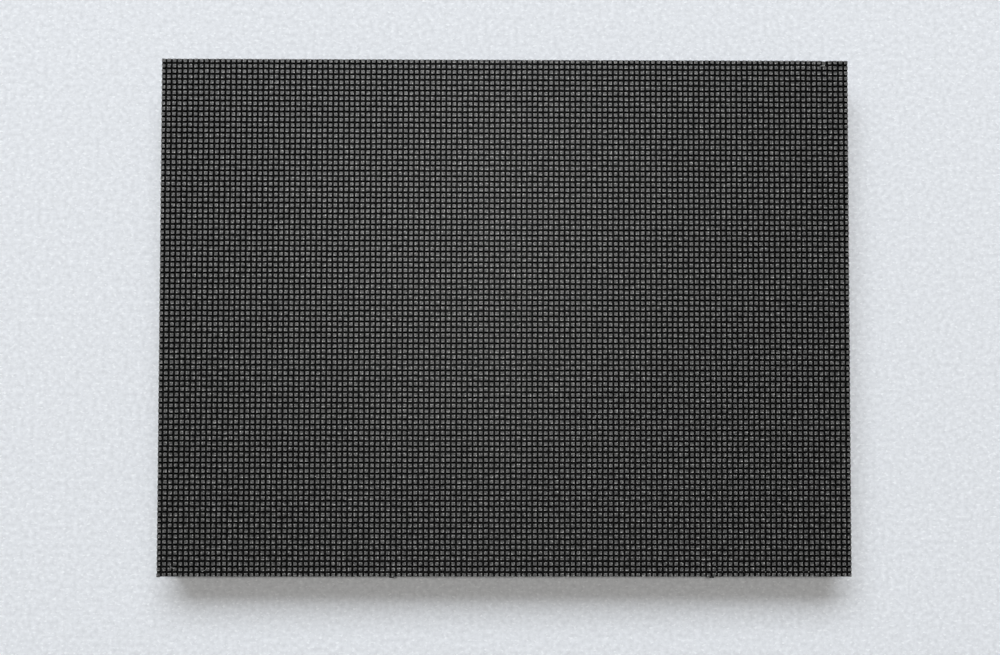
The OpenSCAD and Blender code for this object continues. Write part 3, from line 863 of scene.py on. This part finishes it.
def solder_mask():
    """Dark board face with faint copper lines under the lacquer and a plated via beside many lamps."""
    finishes = tile().finishes
    trace_tone = 2.1
    via_tone = 0.55
    grain_height = 0.2
    tree, shader = new_material("solder_mask")
    where = object_place(tree)
    grain = add_group(tree, "grain", Fine=1800, Broad=90, Bump=0.15)
    traces = add_traces(tree, where)
    vias = add_vias(tree, where)
    tone = add_tones(tree, grain["Tone"], finishes.solder_mask, (GRAIN_LOW, 0.8), (GRAIN_HIGH, 1.2))
    tone = add_mix(tree, traces, tone, scaled(finishes.solder_mask, trace_tone))
    tone = add_mix(tree, vias, tone, scaled(finishes.gold, via_tone))
    tree.links.new(tone, shader["Base Color"])
    tree.links.new(vias, shader["Metallic"])
    height = add_math(tree, "ADD", traces, add_math(tree, "MULTIPLY", grain["Tone"], grain_height))
    normal = add_bump(tree, height, strength=0.5, distance=0.03 * MM)
    tree.links.new(normal, shader["Normal"])
    shader["Roughness"].default_value = 0.38


def make_finishes():
    """Makes the shared effects and every finish of the tile."""
    make_lamp_cell()
    make_grain()
    make_dust()
    lamps = tile().lamps
    finishes = tile().finishes
    frosted_resin()
    solder_mask()
    matt_mask()
    grained("lamp_body", lamps.body, 0.7, specular=0.03, spread=0.35)
    grained("board_edge", finishes.laminate, 0.7, fine=6000, broad=900, spread=0.3)
    grained(
        "soft_silicone", finishes.silicone, 0.72,
        fine=3500, bump=0.5, spread=0.15, specular=0.35, dust=0.08)
    grained("nickel_plate", finishes.nickel, 0.26, fine=900, broad=220, bump=0.06, spread=0.08, metallic=1)
    grained("zinc_plate", finishes.zinc, 0.34, fine=2600, broad=700, bump=0.15, spread=0.12, metallic=1)
    grained("tin_plate", finishes.tin, 0.36, fine=4000, broad=900, bump=0.15, spread=0.1, metallic=1)
    grained("bright_solder", scaled(finishes.tin, 0.9), 0.42, fine=5000, broad=1500, metallic=1)
    grained("gold_plate", finishes.gold, 0.28, fine=3000, broad=900, bump=0.08, spread=0.08, metallic=1)
    grained("brass_nut", finishes.brass, 0.35, fine=3000, broad=600, bump=0.12, spread=0.12, metallic=1)
    grained("chip_body", finishes.epoxy, 0.55, fine=7000, broad=500, bump=0.35, dust=0.25)
    grained("header_moulding", finishes.moulding, 0.5, fine=4500, broad=300, bump=0.25, dust=0.25)
    grained("ivory_nylon", finishes.ivory, 0.48, fine=3000, broad=200, bump=0.2, spread=0.06)
    grained("drawn_can", finishes.aluminium, 0.3, fine=2200, broad=400, bump=0.08, spread=0.06, metallic=1)
    grained("fired_ceramic", finishes.ceramic, 0.5, fine=5000, broad=900, bump=0.2, spread=0.15)
    grained("array_glaze", finishes.glaze, 0.3, fine=3000, broad=600, bump=0.1)
    grained("white_ink", finishes.ink, 0.65, fine=6000, broad=700, bump=0.2, spread=0.08)
    grained("torn_resin", scaled(lamps.resin, 0.55), 0.7, fine=3500, broad=1500, spread=0.5)
    grained("pale_lint", finishes.lint, 0.8, fine=4000, broad=1500)


# Lamps and mask

def model_lamp(name, low):
    """One lamp: a block with bevelled upright edges and a bevelled face, dark but for its frosted face."""
    lamps = tile().lamps
    high = (low[0] + lamps.side, low[1] + lamps.side, face_top)
    lamp = add_block(name, (low[0], low[1], board_top), high)
    select_parts(lamp, "EDGE", is_upright)
    bpy.ops.mesh.bevel(offset=lamps.corner, segments=1, affect="EDGES")
    leave_edit()
    select_parts(lamp, "FACE", looks_up)
    bpy.ops.mesh.bevel(offset=lamps.edge, segments=1, affect="EDGES")
    leave_edit()
    paint(lamp, "frosted_resin")
    paint(lamp, "lamp_body", lambda face: face.normal.z < FROSTED_FACING)
    return lamp


def settle_lamps(band, count, draws):
    """Shifts and turns each lamp a little, and leans its face, as soldering leaves them."""
    lamps = tile().lamps
    points = numpy.empty(len(band.data.vertices) * 3)
    band.data.vertices.foreach_get("co", points)
    points = points.reshape(count, -1, 3)
    centre = points.mean(axis=1, keepdims=True)
    x, y, _ = numpy.moveaxis(points - centre, 2, 0)
    turn = draws.uniform(-lamps.twist, lamps.twist, (count, 1))
    lean_x, lean_y = numpy.tan(draws.uniform(-lamps.tilt, lamps.tilt, (2, count, 1)))
    shift_x, shift_y = draws.uniform(-lamps.drift, lamps.drift, (2, count, 1))
    sink = (numpy.abs(lean_x) + numpy.abs(lean_y)) * lamps.side / 2
    upper = points[:, :, 2] > (board_top + face_top) / 2
    points[:, :, 2] += upper * (x * lean_x + y * lean_y - sink)
    points[:, :, 0] = centre[:, :, 0] + x * numpy.cos(turn) - y * numpy.sin(turn) + shift_x
    points[:, :, 1] = centre[:, :, 1] + x * numpy.sin(turn) + y * numpy.cos(turn) + shift_y
    band.data.vertices.foreach_set("co", points.ravel())
    band.data.update()


def select_lamp(band, column, row):
    """In edit mode, selects one lamp of a band."""
    centre = lamp_centre(column, row)
    reach = lamp_pitch() / 2

    def in_cell(point):
        away = point.co - centre
        return max(abs(away.x), abs(away.y)) < reach

    select_parts(band, "VERT", in_cell)


class LED_OT_lamps(bpy.types.Operator):
    """Models every lamp of the face, in bands of rows"""
    bl_idname = "led.lamps"
    bl_label = "Lamps"

    def execute(self, context):
        lamps = tile().lamps
        wear = tile().wear
        pitch = lamp_pitch()
        draws = numpy.random.default_rng(lamps.seed)
        rows = lamps.rows // lamps.bands
        for number in range(1, lamps.bands + 1):
            top = lamp_high.y - (number - 1) * rows * pitch
            band = model_lamp("lamp_band_%d" % number, (lamp_low.x, top - lamps.side))
            repeat(band, lamps.columns, (pitch, 0, 0))
            repeat(band, rows, (0, -pitch, 0))
            settle_lamps(band, lamps.columns * rows, draws)
            if number == 1:
                select_lamp(band, wear.lost_column, wear.lost_row)
                bpy.ops.mesh.delete(type="VERT")
                leave_edit()
            if number == lamps.bands:
                select_lamp(band, 1, lamps.rows)
                bpy.ops.transform.translate(value=(*wear.corner_push, 0))
                leave_edit()
            finish_piece(band, "lamp_resin", "lamp_rows")
        return {"FINISHED"}


class LED_OT_mask(bpy.types.Operator):
    """Models the mask as a net with a window for every lamp"""
    bl_idname = "led.mask"
    bl_label = "Face mask"

    def execute(self, context):
        lamps = tile().lamps
        mask = tile().mask
        pitch = lamp_pitch()
        gap = (pitch - lamps.side) / 2
        rows = lamps.rows // lamps.bands
        level = board_top + mask.height
        for number in range(1, lamps.bands + 1):
            top = lamp_high.y + gap - (number - 1) * rows * pitch
            low = (lamp_low.x - gap, top - rows * pitch)
            high = (lamp_high.x + gap, top)
            net = add_sheet("mask_band_%d" % number, low, high, level, lamps.columns, rows)
            select_all_parts(net)
            bpy.ops.mesh.inset(thickness=gap - mask.clearance, use_individual=True)
            bpy.ops.mesh.delete(type="FACE")
            for corner, side in ((lamp_low, -1), (lamp_high, 1)):
                for normal in ((side, 0, 0), (0, side, 0)):
                    bpy.ops.mesh.select_all(action="SELECT")
                    bpy.ops.mesh.bisect(plane_co=corner, plane_no=normal, clear_outer=True)
            leave_edit()
            apply_modifier(net, "SOLIDIFY", thickness=mask.height, offset=-1)
            paint(net, "matt_mask")
            finish_piece(net, "mask_black", "face_mask")
        return {"FINISHED"}


# Wear

def model_crumb(centre, reach, draws):
    """A small uneven crumb."""
    deselect_all()
    bpy.ops.mesh.primitive_ico_sphere_add(subdivisions=1, radius=reach, location=centre)
    crumb = bpy.context.object
    rename(crumb, "crumb")
    crumb.scale = [draws.uniform(*bounds) for bounds in CRUMB_STRETCH]
    crumb.rotation_euler.z = draws.uniform(0, math.pi)
    apply_place(crumb)
    select_all_parts(crumb)
    bpy.ops.transform.vertex_random(offset=CRUMB_TEAR * reach, seed=draws.randrange(CRUMB_SEEDS))
    leave_edit()
    return crumb


def model_fibre(start, draws):
    """A short curled fibre: a thin block drawn out step by step, each step turned a little."""
    wear = tile().wear
    half = Vector((wear.fibre_thickness / 2, wear.fibre_thickness / 2, 0))
    fibre = add_block("fibre", start - half, start + half + Vector((0, 0, wear.fibre_thickness)))
    reach = wear.fibre_length / FIBRE_STEPS
    heading = draws.uniform(0, 2 * math.pi)
    select_parts(fibre, "FACE", lambda face: face.normal.x > FACING)
    for _ in range(FIBRE_STEPS):
        heading += draws.uniform(-FIBRE_TURN, FIBRE_TURN)
        step = (reach * math.cos(heading), reach * math.sin(heading), 0)
        bpy.ops.mesh.extrude_region_move(TRANSFORM_OT_translate={"value": step})
    bpy.ops.mesh.select_all(action="SELECT")
    bpy.ops.mesh.normals_make_consistent(inside=False)
    leave_edit()
    return fibre


class LED_OT_wear(bpy.types.Operator):
    """Models what is left at the lost lamp, and the lint and dust on the face"""
    bl_idname = "led.wear"
    bl_label = "Lost lamp, lint and dust"

    def execute(self, context):
        wear = tile().wear
        draws = random.Random(wear.seed)
        lost = lamp_centre(wear.lost_column, wear.lost_row)
        self.leave_stub(lost)
        specks = [*self.drop_torn_bits(lost, draws), *self.drop_dust(draws), *self.drop_lint(draws)]
        lint = join(specks, "lint")
        paint(lint, "pale_lint")
        finish_piece(lint, "lamp_resin")
        return {"FINISHED"}

    def leave_stub(self, lost):
        """What is left of the lost lamp: a low block whose top is torn."""
        wear = tile().wear
        half = wear.stub_reach * tile().lamps.side
        top = lost + Vector((half, half, wear.stub_height))
        stub = add_block("lamp_stub", lost - Vector((half, half, 0)), top)
        select_all_parts(stub)
        bpy.ops.mesh.subdivide(number_cuts=2)
        leave_edit()
        select_parts(stub, "VERT", lambda point: point.co.z > top.z - MERGE_DISTANCE)
        bpy.ops.transform.vertex_random(offset=wear.stub_tear, seed=wear.seed, normal=0.5)
        leave_edit()
        paint(stub, "torn_resin")
        finish_piece(stub, "lamp_resin")

    def drop_torn_bits(self, lost, draws):
        """The torn bits that lie on the mask beside the lost lamp."""
        wear = tile().wear
        ledge = tile().mask.height
        yield model_crumb(lost + Vector((*wear.torn_bit, ledge)), wear.torn_reach, draws)
        for step in range(wear.torn_count):
            spot = Vector(wear.torn_start) + step * Vector(wear.torn_step)
            yield model_crumb(lost + Vector((*spot, ledge)), wear.crumb_reach, draws)

    def drop_dust(self, draws):
        """Specks where the lowest gaps of the mask cross, near the lower right corner."""
        lamps = tile().lamps
        wear = tile().wear
        pitch = lamp_pitch()
        first_gap = lamp_low.x - (pitch - lamps.side) / 2
        for _ in range(wear.dust_specks):
            row = draws.choice((lamps.rows - 1, lamps.rows - 2))
            y = lamp_centre(1, row).y - pitch / 2
            x = draws.uniform(wear.dust_from, lamp_high.x - pitch)
            x = first_gap + round((x - first_gap) / pitch) * pitch
            reach = draws.uniform(wear.dust_least, wear.dust_most)
            yield model_crumb((x, y, board_top + tile().mask.height), reach, draws)

    def drop_lint(self, draws):
        """Specks of lint on the lamps' faces, each with a fibre."""
        wear = tile().wear
        for spot in (wear.upper_lint, wear.lower_lint, wear.corner_lint, wear.edge_lint):
            yield model_crumb((*spot, face_top - wear.lint_sink), wear.crumb_reach, draws)
            yield model_fibre(Vector((*spot, face_top - wear.fibre_thickness)), draws)


# Board, frame and what holds the tile

class LED_OT_board(bpy.types.Operator):
    """Finishes the board, with its nick at the lost lamp and its bare edges"""
    bl_idname = "led.board"
    bl_label = "Circuit board"

    def execute(self, context):
        wear = tile().wear
        board = soften("circuit_board", "board_laminate", "solder_mask", tile().back.fine_edge)
        lost = lamp_centre(wear.lost_column, wear.lost_row)
        for width, depth in (wear.nick, wear.slit):
            low = (lost.x - width / 2, board_high.y - depth, board_back - CUT_MARGIN)
            high = (lost.x + width / 2, board_high.y + CUT_MARGIN, board_top + CUT_MARGIN)
            cut = add_block("cut", low, high)
            apply_modifier(board, "BOOLEAN", operation="DIFFERENCE", object=cut)
            bpy.data.objects.remove(cut)
        paint(board, "board_edge", looks_sideways)
        return {"FINISHED"}


class LED_OT_frame(bpy.types.Operator):
    """Finishes the soft frame, the ring magnets, their screws and the nuts"""
    bl_idname = "led.frame"
    bl_label = "Frame and magnets"

    def execute(self, context):
        back = tile().back
        soften("back_frame", "frame_silicone", "soft_silicone", back.frame_edge, segments=2)
        for node in numbered("magnet_"):
            soften(node, "magnet_nickel", "nickel_plate", back.metal_edge)
        soften("magnet_screws", "screw_steel", "zinc_plate", back.fine_edge)
        soften("board_nuts", "nut_tin", "brass_nut")
        return {"FINISHED"}


# Where parts repeat on the back

def chip_step():
    """Distance between neighbouring driver chips in a bank."""
    low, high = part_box("driver_bank_1")
    side = high.y - low.y
    return (high.x - low.x - side) / (tile().back.chips_in_bank - 1)


def first_switch():
    """Middle of the first row switch, on the board's back."""
    return Vector((middle("row_switch_bank_1").x, middle("driver_bank_1").y, board_back))


def spread_over_rows(piece):
    """Copies a piece from the first bank's row to the rows of all the banks, half of them on each side."""
    banks = numbered("driver_bank_")
    first = middle(banks[0]).y
    repeat(piece, len(banks) // 2, (0, middle(banks[1]).y - first, 0))
    repeat(piece, 2, (0, middle(banks[-1]).y - first, 0))


def spread_over_banks(piece):
    """Copies a piece from the first chip of the first bank to every driver chip."""
    repeat(piece, tile().back.chips_in_bank, (chip_step(), 0, 0))
    spread_over_rows(piece)


def spread_over_switches(piece):
    """Copies a piece from the first row switch to the row switches of both banks."""
    spread_over_rows(piece)
    repeat(piece, 2, (middle("row_switch_bank_2").x - middle("row_switch_bank_1").x, 0, 0))


# Chips and small parts

def model_joint(low, high, draw_in):
    """A solder joint on the board's back: a thin pad whose free face is drawn in and up."""
    solder = tile().solder
    joint = add_block("joint", (*low, board_back - solder.pad), (*high, board_back))
    select_parts(joint, "FACE", looks_down)
    bpy.ops.mesh.inset(thickness=draw_in, depth=solder.rise - solder.pad)
    leave_edit()
    paint(joint, "bright_solder")
    return joint


class LED_OT_chips(bpy.types.Operator):
    """Finishes the driver, switch and buffer chips, with the drivers' soldered terminals"""
    bl_idname = "led.chips"
    bl_label = "Chips"

    def execute(self, context):
        back = tile().back
        for node in numbered("driver_bank_"):
            soften(node, "chip_epoxy", "chip_body", back.fine_edge)
        for node in (*numbered("buffer_"), *numbered("row_switch_bank_")):
            self.tin_leads(node, soften(node, "chip_epoxy", "chip_body", back.lead_edge))
        self.solder_drivers()
        return {"FINISHED"}

    def tin_leads(self, node, chip):
        """Gives the leads of a chip their metal."""
        line = middle(node).x
        body = half_width(node) - tile().back.lead_reach
        paint(chip, "tin_plate", lambda face: abs(face.calc_center_median().x - line) > body + LEAD_START)

    def solder_drivers(self):
        """Adds a soldered terminal at each land of every driver chip."""
        solder = tile().solder
        low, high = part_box("driver_bank_1")
        side = high.y - low.y
        centre = Vector((low.x + side / 2, (low.y + high.y) / 2, board_back))
        first = centre.x - (solder.terminals - 1) / 2 * solder.terminal_step - solder.terminal_width / 2
        edge = centre.y + side / 2
        terminal = model_joint(
            (first, edge - solder.terminal_under),
            (first + solder.terminal_width, edge + solder.terminal_out), solder.terminal_draw)
        repeat(terminal, solder.terminals, (solder.terminal_step, 0, 0))
        sides = [terminal]
        for quarter in range(1, 4):
            sides.append(copy_turned(terminal, quarter * math.pi / 2, centre))
        terminals = join(sides, "driver_terminals")
        spread_over_banks(terminals)
        finish_piece(terminals, "pin_tin")


class LED_OT_capacitors(bpy.types.Operator):
    """Finishes the bulk and ceramic capacitors and the resistor arrays"""
    bl_idname = "led.capacitors"
    bl_label = "Capacitors and resistors"

    def execute(self, context):
        back = tile().back
        for base, can in zip(numbered("capacitor_base_"), numbered("capacitor_can_")):
            soften(base, "capacitor_plastic", "header_moulding", back.moulded_edge)
            soften(can, "can_aluminium", "drawn_can", back.pin_edge, segments=2)
        self.cap_ceramics()
        self.mark_cans()
        self.cap_arrays()
        return {"FINISHED"}

    def cap_ceramics(self):
        """Gives the ceramic capacitors their metal ends."""
        back = tile().back
        ceramics = soften("ceramic_capacitors", "ceramic_brown", "fired_ceramic", back.ceramic_edge)
        row_step = middle("driver_bank_1").y

        def on_metal_end(face):
            y = face.calc_center_median().y
            return abs(y - row_step * round(y / row_step)) > back.ceramic_body

        paint(ceramics, "tin_plate", on_metal_end)

    def mark_cans(self):
        """Prints the dark segment on each can's top."""
        ink = tile().print
        marks = []
        for node in numbered("capacitor_can_"):
            low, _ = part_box(node)
            centre = middle(node)
            radius = half_width(node) - ink.can_rim
            mark = add_disc("mark", CAN_MARK_SIDES, radius, ink.thickness, centre.x, centre.y, low.z)
            select_all_parts(mark)
            bpy.ops.mesh.bisect(
                plane_co=(centre.x + ink.can_mark * radius, centre.y, low.z), plane_no=(1, 0, 0),
                clear_inner=True, use_fill=True)
            leave_edit()
            marks.append(mark)
        marks = join(marks, "can_marks")
        paint(marks, "array_glaze")
        finish_piece(marks, "capacitor_plastic")

    def cap_arrays(self):
        """Gives the resistor arrays their metal ends."""
        back = tile().back
        arrays = soften("resistor_arrays", "array_black", "array_glaze", back.array_edge)
        low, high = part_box("resistor_arrays")
        _, width = back.array_size
        rows = (low.y + width / 2, high.y - width / 2)
        select_all_parts(arrays)
        for row in rows:
            for side in (-1, 1):
                bpy.ops.mesh.select_all(action="SELECT")
                bpy.ops.mesh.bisect(plane_co=(0, row + side * back.array_body, 0), plane_no=(0, 1, 0))
        leave_edit()

        def on_metal_end(face):
            y = face.calc_center_median().y
            return min(abs(y - row) for row in rows) > back.array_body

        paint(arrays, "tin_plate", on_metal_end)


class LED_OT_headers(bpy.types.Operator):
    """Finishes the signal and power headers and their pins"""
    bl_idname = "led.headers"
    bl_label = "Headers"

    def execute(self, context):
        back = tile().back
        for way in ("in", "out"):
            soften("signal_%s_shroud" % way, "header_black", "header_moulding", back.moulded_edge)
            soften("signal_%s_pins" % way, "pin_gold", "gold_plate", back.pin_edge)
        soften("power_header", "header_ivory", "ivory_nylon", back.moulded_edge)
        soften("power_pins", "pin_tin", "tin_plate", back.pin_edge)
        return {"FINISHED"}


# Solder

def solder_rows(centre, reach, count, step, width, foot):
    """Solder joints under both rows of feet of one part; the feet end at a reach from its middle."""
    solder = tile().solder
    start = centre.y - (count - 1) / 2 * step
    low = (centre.x + reach - foot, start - width / 2)
    high = (centre.x + reach + solder.toe * foot, start + width / 2)
    row = model_joint(low, high, solder.foot_draw * width)
    repeat(row, count, (0, step, 0))
    return join([row, copy_turned(row, math.pi, centre)], "joint")


def solder_ends(centre, ends, width, count=1, step=0):
    """Solder joints at both ends of one part, between two distances from its middle."""
    near, far = ends
    start = centre.x - (count - 1) / 2 * step
    low = (start - width / 2, centre.y + near)
    high = (start + width / 2, centre.y + far)
    joint = model_joint(low, high, tile().solder.end_draw * (far - near))
    repeat(joint, count, (step, 0, 0))
    return join([joint, copy_turned(joint, math.pi, centre)], "joint")


class LED_OT_solder(bpy.types.Operator):
    """Solders the feet of chips and headers and the ends of small parts to the board"""
    bl_idname = "led.solder"
    bl_label = "Solder"

    def execute(self, context):
        joints = [
            self.solder_switches(), *self.solder_buffers(), *self.solder_headers(), self.solder_power(),
            self.solder_ceramics(), self.solder_arrays(), *self.solder_cans(),
        ]
        finish_piece(join(joints, "solder_joints"), "pin_tin")
        return {"FINISHED"}

    def solder_switches(self):
        """Solder under the leads of the row switches."""
        solder = tile().solder
        joints = solder_rows(
            first_switch(), half_width("row_switch_bank_1"),
            solder.switch_leads, solder.switch_step, solder.switch_width, solder.lead_foot)
        spread_over_switches(joints)
        return joints

    def solder_buffers(self):
        """Solder under the leads of the buffers."""
        solder = tile().solder
        for node in numbered("buffer_"):
            yield solder_rows(
                middle(node), half_width(node),
                solder.buffer_leads, solder.buffer_step, solder.buffer_width, solder.lead_foot)

    def solder_headers(self):
        """Solder round the tails of the signal pins."""
        solder = tile().solder
        for node in ("signal_in_pins", "signal_out_pins"):
            yield solder_rows(
                middle(node), half_width(node),
                solder.signal_pins, solder.signal_step, solder.signal_width, solder.tail)

    def solder_power(self):
        """Solder round the tails of the power pins, which all leave on one side."""
        solder = tile().solder
        low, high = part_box("power_pins")
        joint = model_joint(
            (low.x - solder.power_margin, high.y - solder.tail),
            (low.x + solder.power_pin + solder.power_margin, high.y + solder.power_toe), solder.power_draw)
        step = (high.x - low.x - solder.power_pin) / (solder.power_pins - 1)
        repeat(joint, solder.power_pins, (step, 0, 0))
        return joint

    def solder_ceramics(self):
        """Solder at the ends of the ceramic capacitors, one on the outer side of each driver chip."""
        back = tile().back
        solder = tile().solder
        low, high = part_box("ceramic_capacitors")
        first = Vector((low.x + back.ceramic_width / 2, middle("driver_bank_1").y, board_back))
        joints = solder_ends(first, solder.ceramic_ends, solder.ceramic_joint)
        on_a_side = back.chips_in_bank // 2
        repeat(joints, on_a_side, (chip_step(), 0, 0))
        span = high.x - low.x - back.ceramic_width
        repeat(joints, 2, (span - (on_a_side - 1) * chip_step(), 0, 0))
        spread_over_rows(joints)
        return joints

    def solder_arrays(self):
        """Solder at the ends of the resistor arrays, which stand in two groups of four."""
        back = tile().back
        solder = tile().solder
        low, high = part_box("resistor_arrays")
        size_x, size_y = back.array_size
        first = Vector((low.x + size_x / 2, low.y + size_y / 2, board_back))
        joints = solder_ends(
            first, solder.array_ends, solder.array_joint, solder.resistors, solder.resistor_step)
        repeat(joints, 2, (back.array_step, 0, 0))
        repeat(joints, 2, (0, high.y - low.y - size_y, 0))
        repeat(joints, 2, (high.x - low.x - size_x - back.array_step, 0, 0))
        return joints

    def solder_cans(self):
        """Solder at the two feet of each bulk capacitor."""
        solder = tile().solder
        for node in numbered("capacitor_base_"):
            yield solder_rows(middle(node), solder.can_reach, 1, 0, solder.can_foot, solder.can_foot)


# Print

def model_outline(low, high):
    """A printed outline on the board's back: a sheet whose middle is taken out, as thick as the ink."""
    ink = tile().print
    outline = add_sheet("outline", low, high, board_back)
    select_all_parts(outline)
    bpy.ops.mesh.inset(thickness=ink.width)
    bpy.ops.mesh.delete(type="FACE")
    leave_edit()
    apply_modifier(outline, "SOLIDIFY", thickness=ink.thickness, offset=-1)
    return outline


def model_dot(x, y, top, radius):
    """A printed ring that marks a chip's first terminal: a disc whose free face is sunk."""
    ink = tile().print
    dot = add_disc("dot", DOT_SIDES, radius, ink.thickness, x, y, top)
    select_parts(dot, "FACE", looks_down)
    bpy.ops.mesh.inset(thickness=ink.dot_rim * radius, depth=-ink.dot_sink * ink.thickness)
    leave_edit()
    return dot


def model_bar(low, high):
    """A printed bar on the board's back, with rounded ends."""
    ink = tile().print
    bar = add_block("bar", (*low, board_back - ink.thickness), (*high, board_back))
    select_parts(bar, "EDGE", is_upright)
    bpy.ops.mesh.bevel(offset=ink.bar_corner * ink.width, segments=2, affect="EDGES")
    leave_edit()
    return bar


class LED_OT_print(bpy.types.Operator):
    """Prints the outlines of the chips and marks each chip's first terminal"""
    bl_idname = "led.print"
    bl_label = "Print"

    def execute(self, context):
        marks = [*self.mark_drivers(), *self.mark_switches(), *self.mark_buffers()]
        ink = join(marks, "printed_marks")
        paint(ink, "white_ink")
        finish_piece(ink, "board_laminate")
        return {"FINISHED"}

    def mark_drivers(self):
        """An outline round every driver chip, and a dot on it."""
        ink = tile().print
        low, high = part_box("driver_bank_1")
        side = high.y - low.y
        outline = model_outline(
            (low.x - ink.gap, low.y - ink.gap), (low.x + side + ink.gap, high.y + ink.gap))
        dot = model_dot(low.x + ink.driver_inset, high.y - ink.driver_inset, low.z, ink.driver_dot)
        for mark in (outline, dot):
            spread_over_banks(mark)
            yield mark

    def mark_switches(self):
        """A bar at both ends of every row switch, and a dot on it."""
        ink = tile().print
        low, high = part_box("row_switch_bank_1")
        centre = first_switch()
        half_body = half_width("row_switch_bank_1") - tile().back.lead_reach
        top_row = middle("driver_bank_3").y
        half_length = high.y - top_row
        marks = []
        for end in (-1, 1):
            line = centre.y + end * (half_length + ink.gap)
            bar_low = (centre.x - half_body, line - ink.width / 2)
            bar_high = (centre.x + half_body, line + ink.width / 2)
            marks.append(model_bar(bar_low, bar_high))
        x = centre.x - ink.switch_across * half_body
        y = centre.y + ink.switch_along * half_length
        marks.append(model_dot(x, y, low.z, ink.switch_dot))
        for mark in marks:
            spread_over_switches(mark)
            yield mark

    def mark_buffers(self):
        """A dot on every buffer."""
        ink = tile().print
        for node in numbered("buffer_"):
            low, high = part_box(node)
            x = low.x + tile().back.lead_reach + ink.buffer_inset
            yield model_dot(x, high.y - ink.buffer_inset, low.z, ink.buffer_dot)


# Stage

def add_panel_light(name, where, size, watts, tint):
    """A soft rectangular light that faces the tile."""
    deselect_all()
    bpy.ops.object.light_add(type="AREA", location=where)
    light = bpy.context.object
    rename(light, name)
    light.data.shape = "RECTANGLE"
    light.data.size, light.data.size_y = size
    light.data.energy = watts
    light.data.color = tint
    light.rotation_euler = (-light.location).to_track_quat("-Z", "Y").to_euler()


def pale_foam():
    """Pale foam with soft clouds and painted glints: a few bright specks mixed into its colour."""
    painted_sparkle_stretch = (0.6, 1, 1)
    tree, shader = new_material("pale_foam")
    where = object_place(tree)
    clouds = add_noise(tree, where, scale=760, detail=6)
    tone = add_tones(tree, clouds, tile().stage.floor, (0.3, 0.90), (0.7, 1.10))
    stretched = add_vector(tree, "MULTIPLY", where, painted_sparkle_stretch)
    # Painted glints: bright specks where light catches the foam, mixed in as white
    painted_sparkles = add_noise(tree, stretched, scale=1400, detail=1)
    painted_sparkles = add_ramp(tree, painted_sparkles, (0.6, BLACK), (0.72, WHITE))
    tree.links.new(add_mix(tree, painted_sparkles, tone, WHITE), shader["Base Color"])
    shader["Roughness"].default_value = 0.9
    shader["Specular IOR Level"].default_value = 0.1


class LED_OT_stage(bpy.types.Operator):
    """Sets the floor, the soft light and the camera"""
    bl_idname = "led.stage"
    bl_label = "Stage"

    def execute(self, context):
        stage = tile().stage
        pale_foam()
        half = stage.floor_size / 2
        floor = add_sheet("floor", (-half, -half), (half, half), cad_low.z)
        paint(floor, "pale_foam")
        self.light_room(context.scene)
        add_panel_light(
            "window_light", stage.window_place, stage.window_size, stage.window_power, stage.window)
        add_panel_light(
            "ceiling_light", stage.ceiling_place, stage.ceiling_size, stage.ceiling_power, stage.room)
        self.set_camera(context.scene)
        context.scene.view_settings.view_transform = "Standard"
        return {"FINISHED"}

    def light_room(self, scene):
        """Pale walls low down all round, and dimmer light from above."""
        stage = tile().stage
        world = bpy.data.worlds.new("room")
        world.use_nodes = True
        tree = world.node_tree
        height = add_split(tree, tree.nodes.new("ShaderNodeTexCoord").outputs["Generated"])["Z"]
        above = scaled(stage.room, stage.room_strength)
        light = add_ramp(tree, height, (stage.walls_to, stage.walls), (stage.room_from, above))
        tree.links.new(light, tree.nodes["Background"].inputs["Color"])
        scene.world = world

    def set_camera(self, scene):
        """Looks down on the tile, almost straight."""
        stage = tile().stage
        camera = bpy.data.objects.new("camera", bpy.data.cameras.new("camera"))
        camera.data.lens = stage.lens
        camera.data.sensor_width = stage.sensor
        camera.data.clip_start = stage.clip_start
        camera.location = stage.camera_place
        camera.rotation_euler = Euler(stage.camera_turn)
        scene.collection.objects.link(camera)
        scene.camera = camera


class LED_PT_tile(bpy.types.Panel):
    """Lists the steps that dress the tile"""
    bl_idname = "LED_PT_tile"
    bl_label = "LED tile"
    bl_space_type = "VIEW_3D"
    bl_region_type = "UI"
    bl_category = "LED tile"

    def draw(self, context):
        for step in STEPS:
            self.layout.operator(step.bl_idname)


STEPS = (
    LED_OT_lamps, LED_OT_mask, LED_OT_wear, LED_OT_board, LED_OT_frame,
    LED_OT_chips, LED_OT_capacitors, LED_OT_headers, LED_OT_solder, LED_OT_print, LED_OT_stage,
)
GROUPS = (
    LampSettings, MaskSettings, WearSettings, BackSettings, SolderSettings, PrintSettings,
    FinishSettings, StageSettings, TileSettings,
)


def register():
    """Adds the classes and the settings."""
    for one in (*GROUPS, *STEPS, LED_PT_tile):
        bpy.utils.register_class(one)
    bpy.types.Scene.led_tile = bpy.props.PointerProperty(type=TileSettings)


def unregister():
    """Takes the settings and the classes away."""
    del bpy.types.Scene.led_tile
    for one in reversed((*GROUPS, *STEPS, LED_PT_tile)):
        bpy.utils.unregister_class(one)


def main():
    """Dresses the tile step by step."""
    register()
    make_finishes()
    bpy.ops.led.lamps()
    bpy.ops.led.mask()
    bpy.ops.led.wear()
    bpy.ops.led.board()
    bpy.ops.led.frame()
    bpy.ops.led.chips()
    bpy.ops.led.capacitors()
    bpy.ops.led.headers()
    bpy.ops.led.solder()
    bpy.ops.led.print()
    bpy.ops.led.stage()


if __name__ == "__main__":
    main()
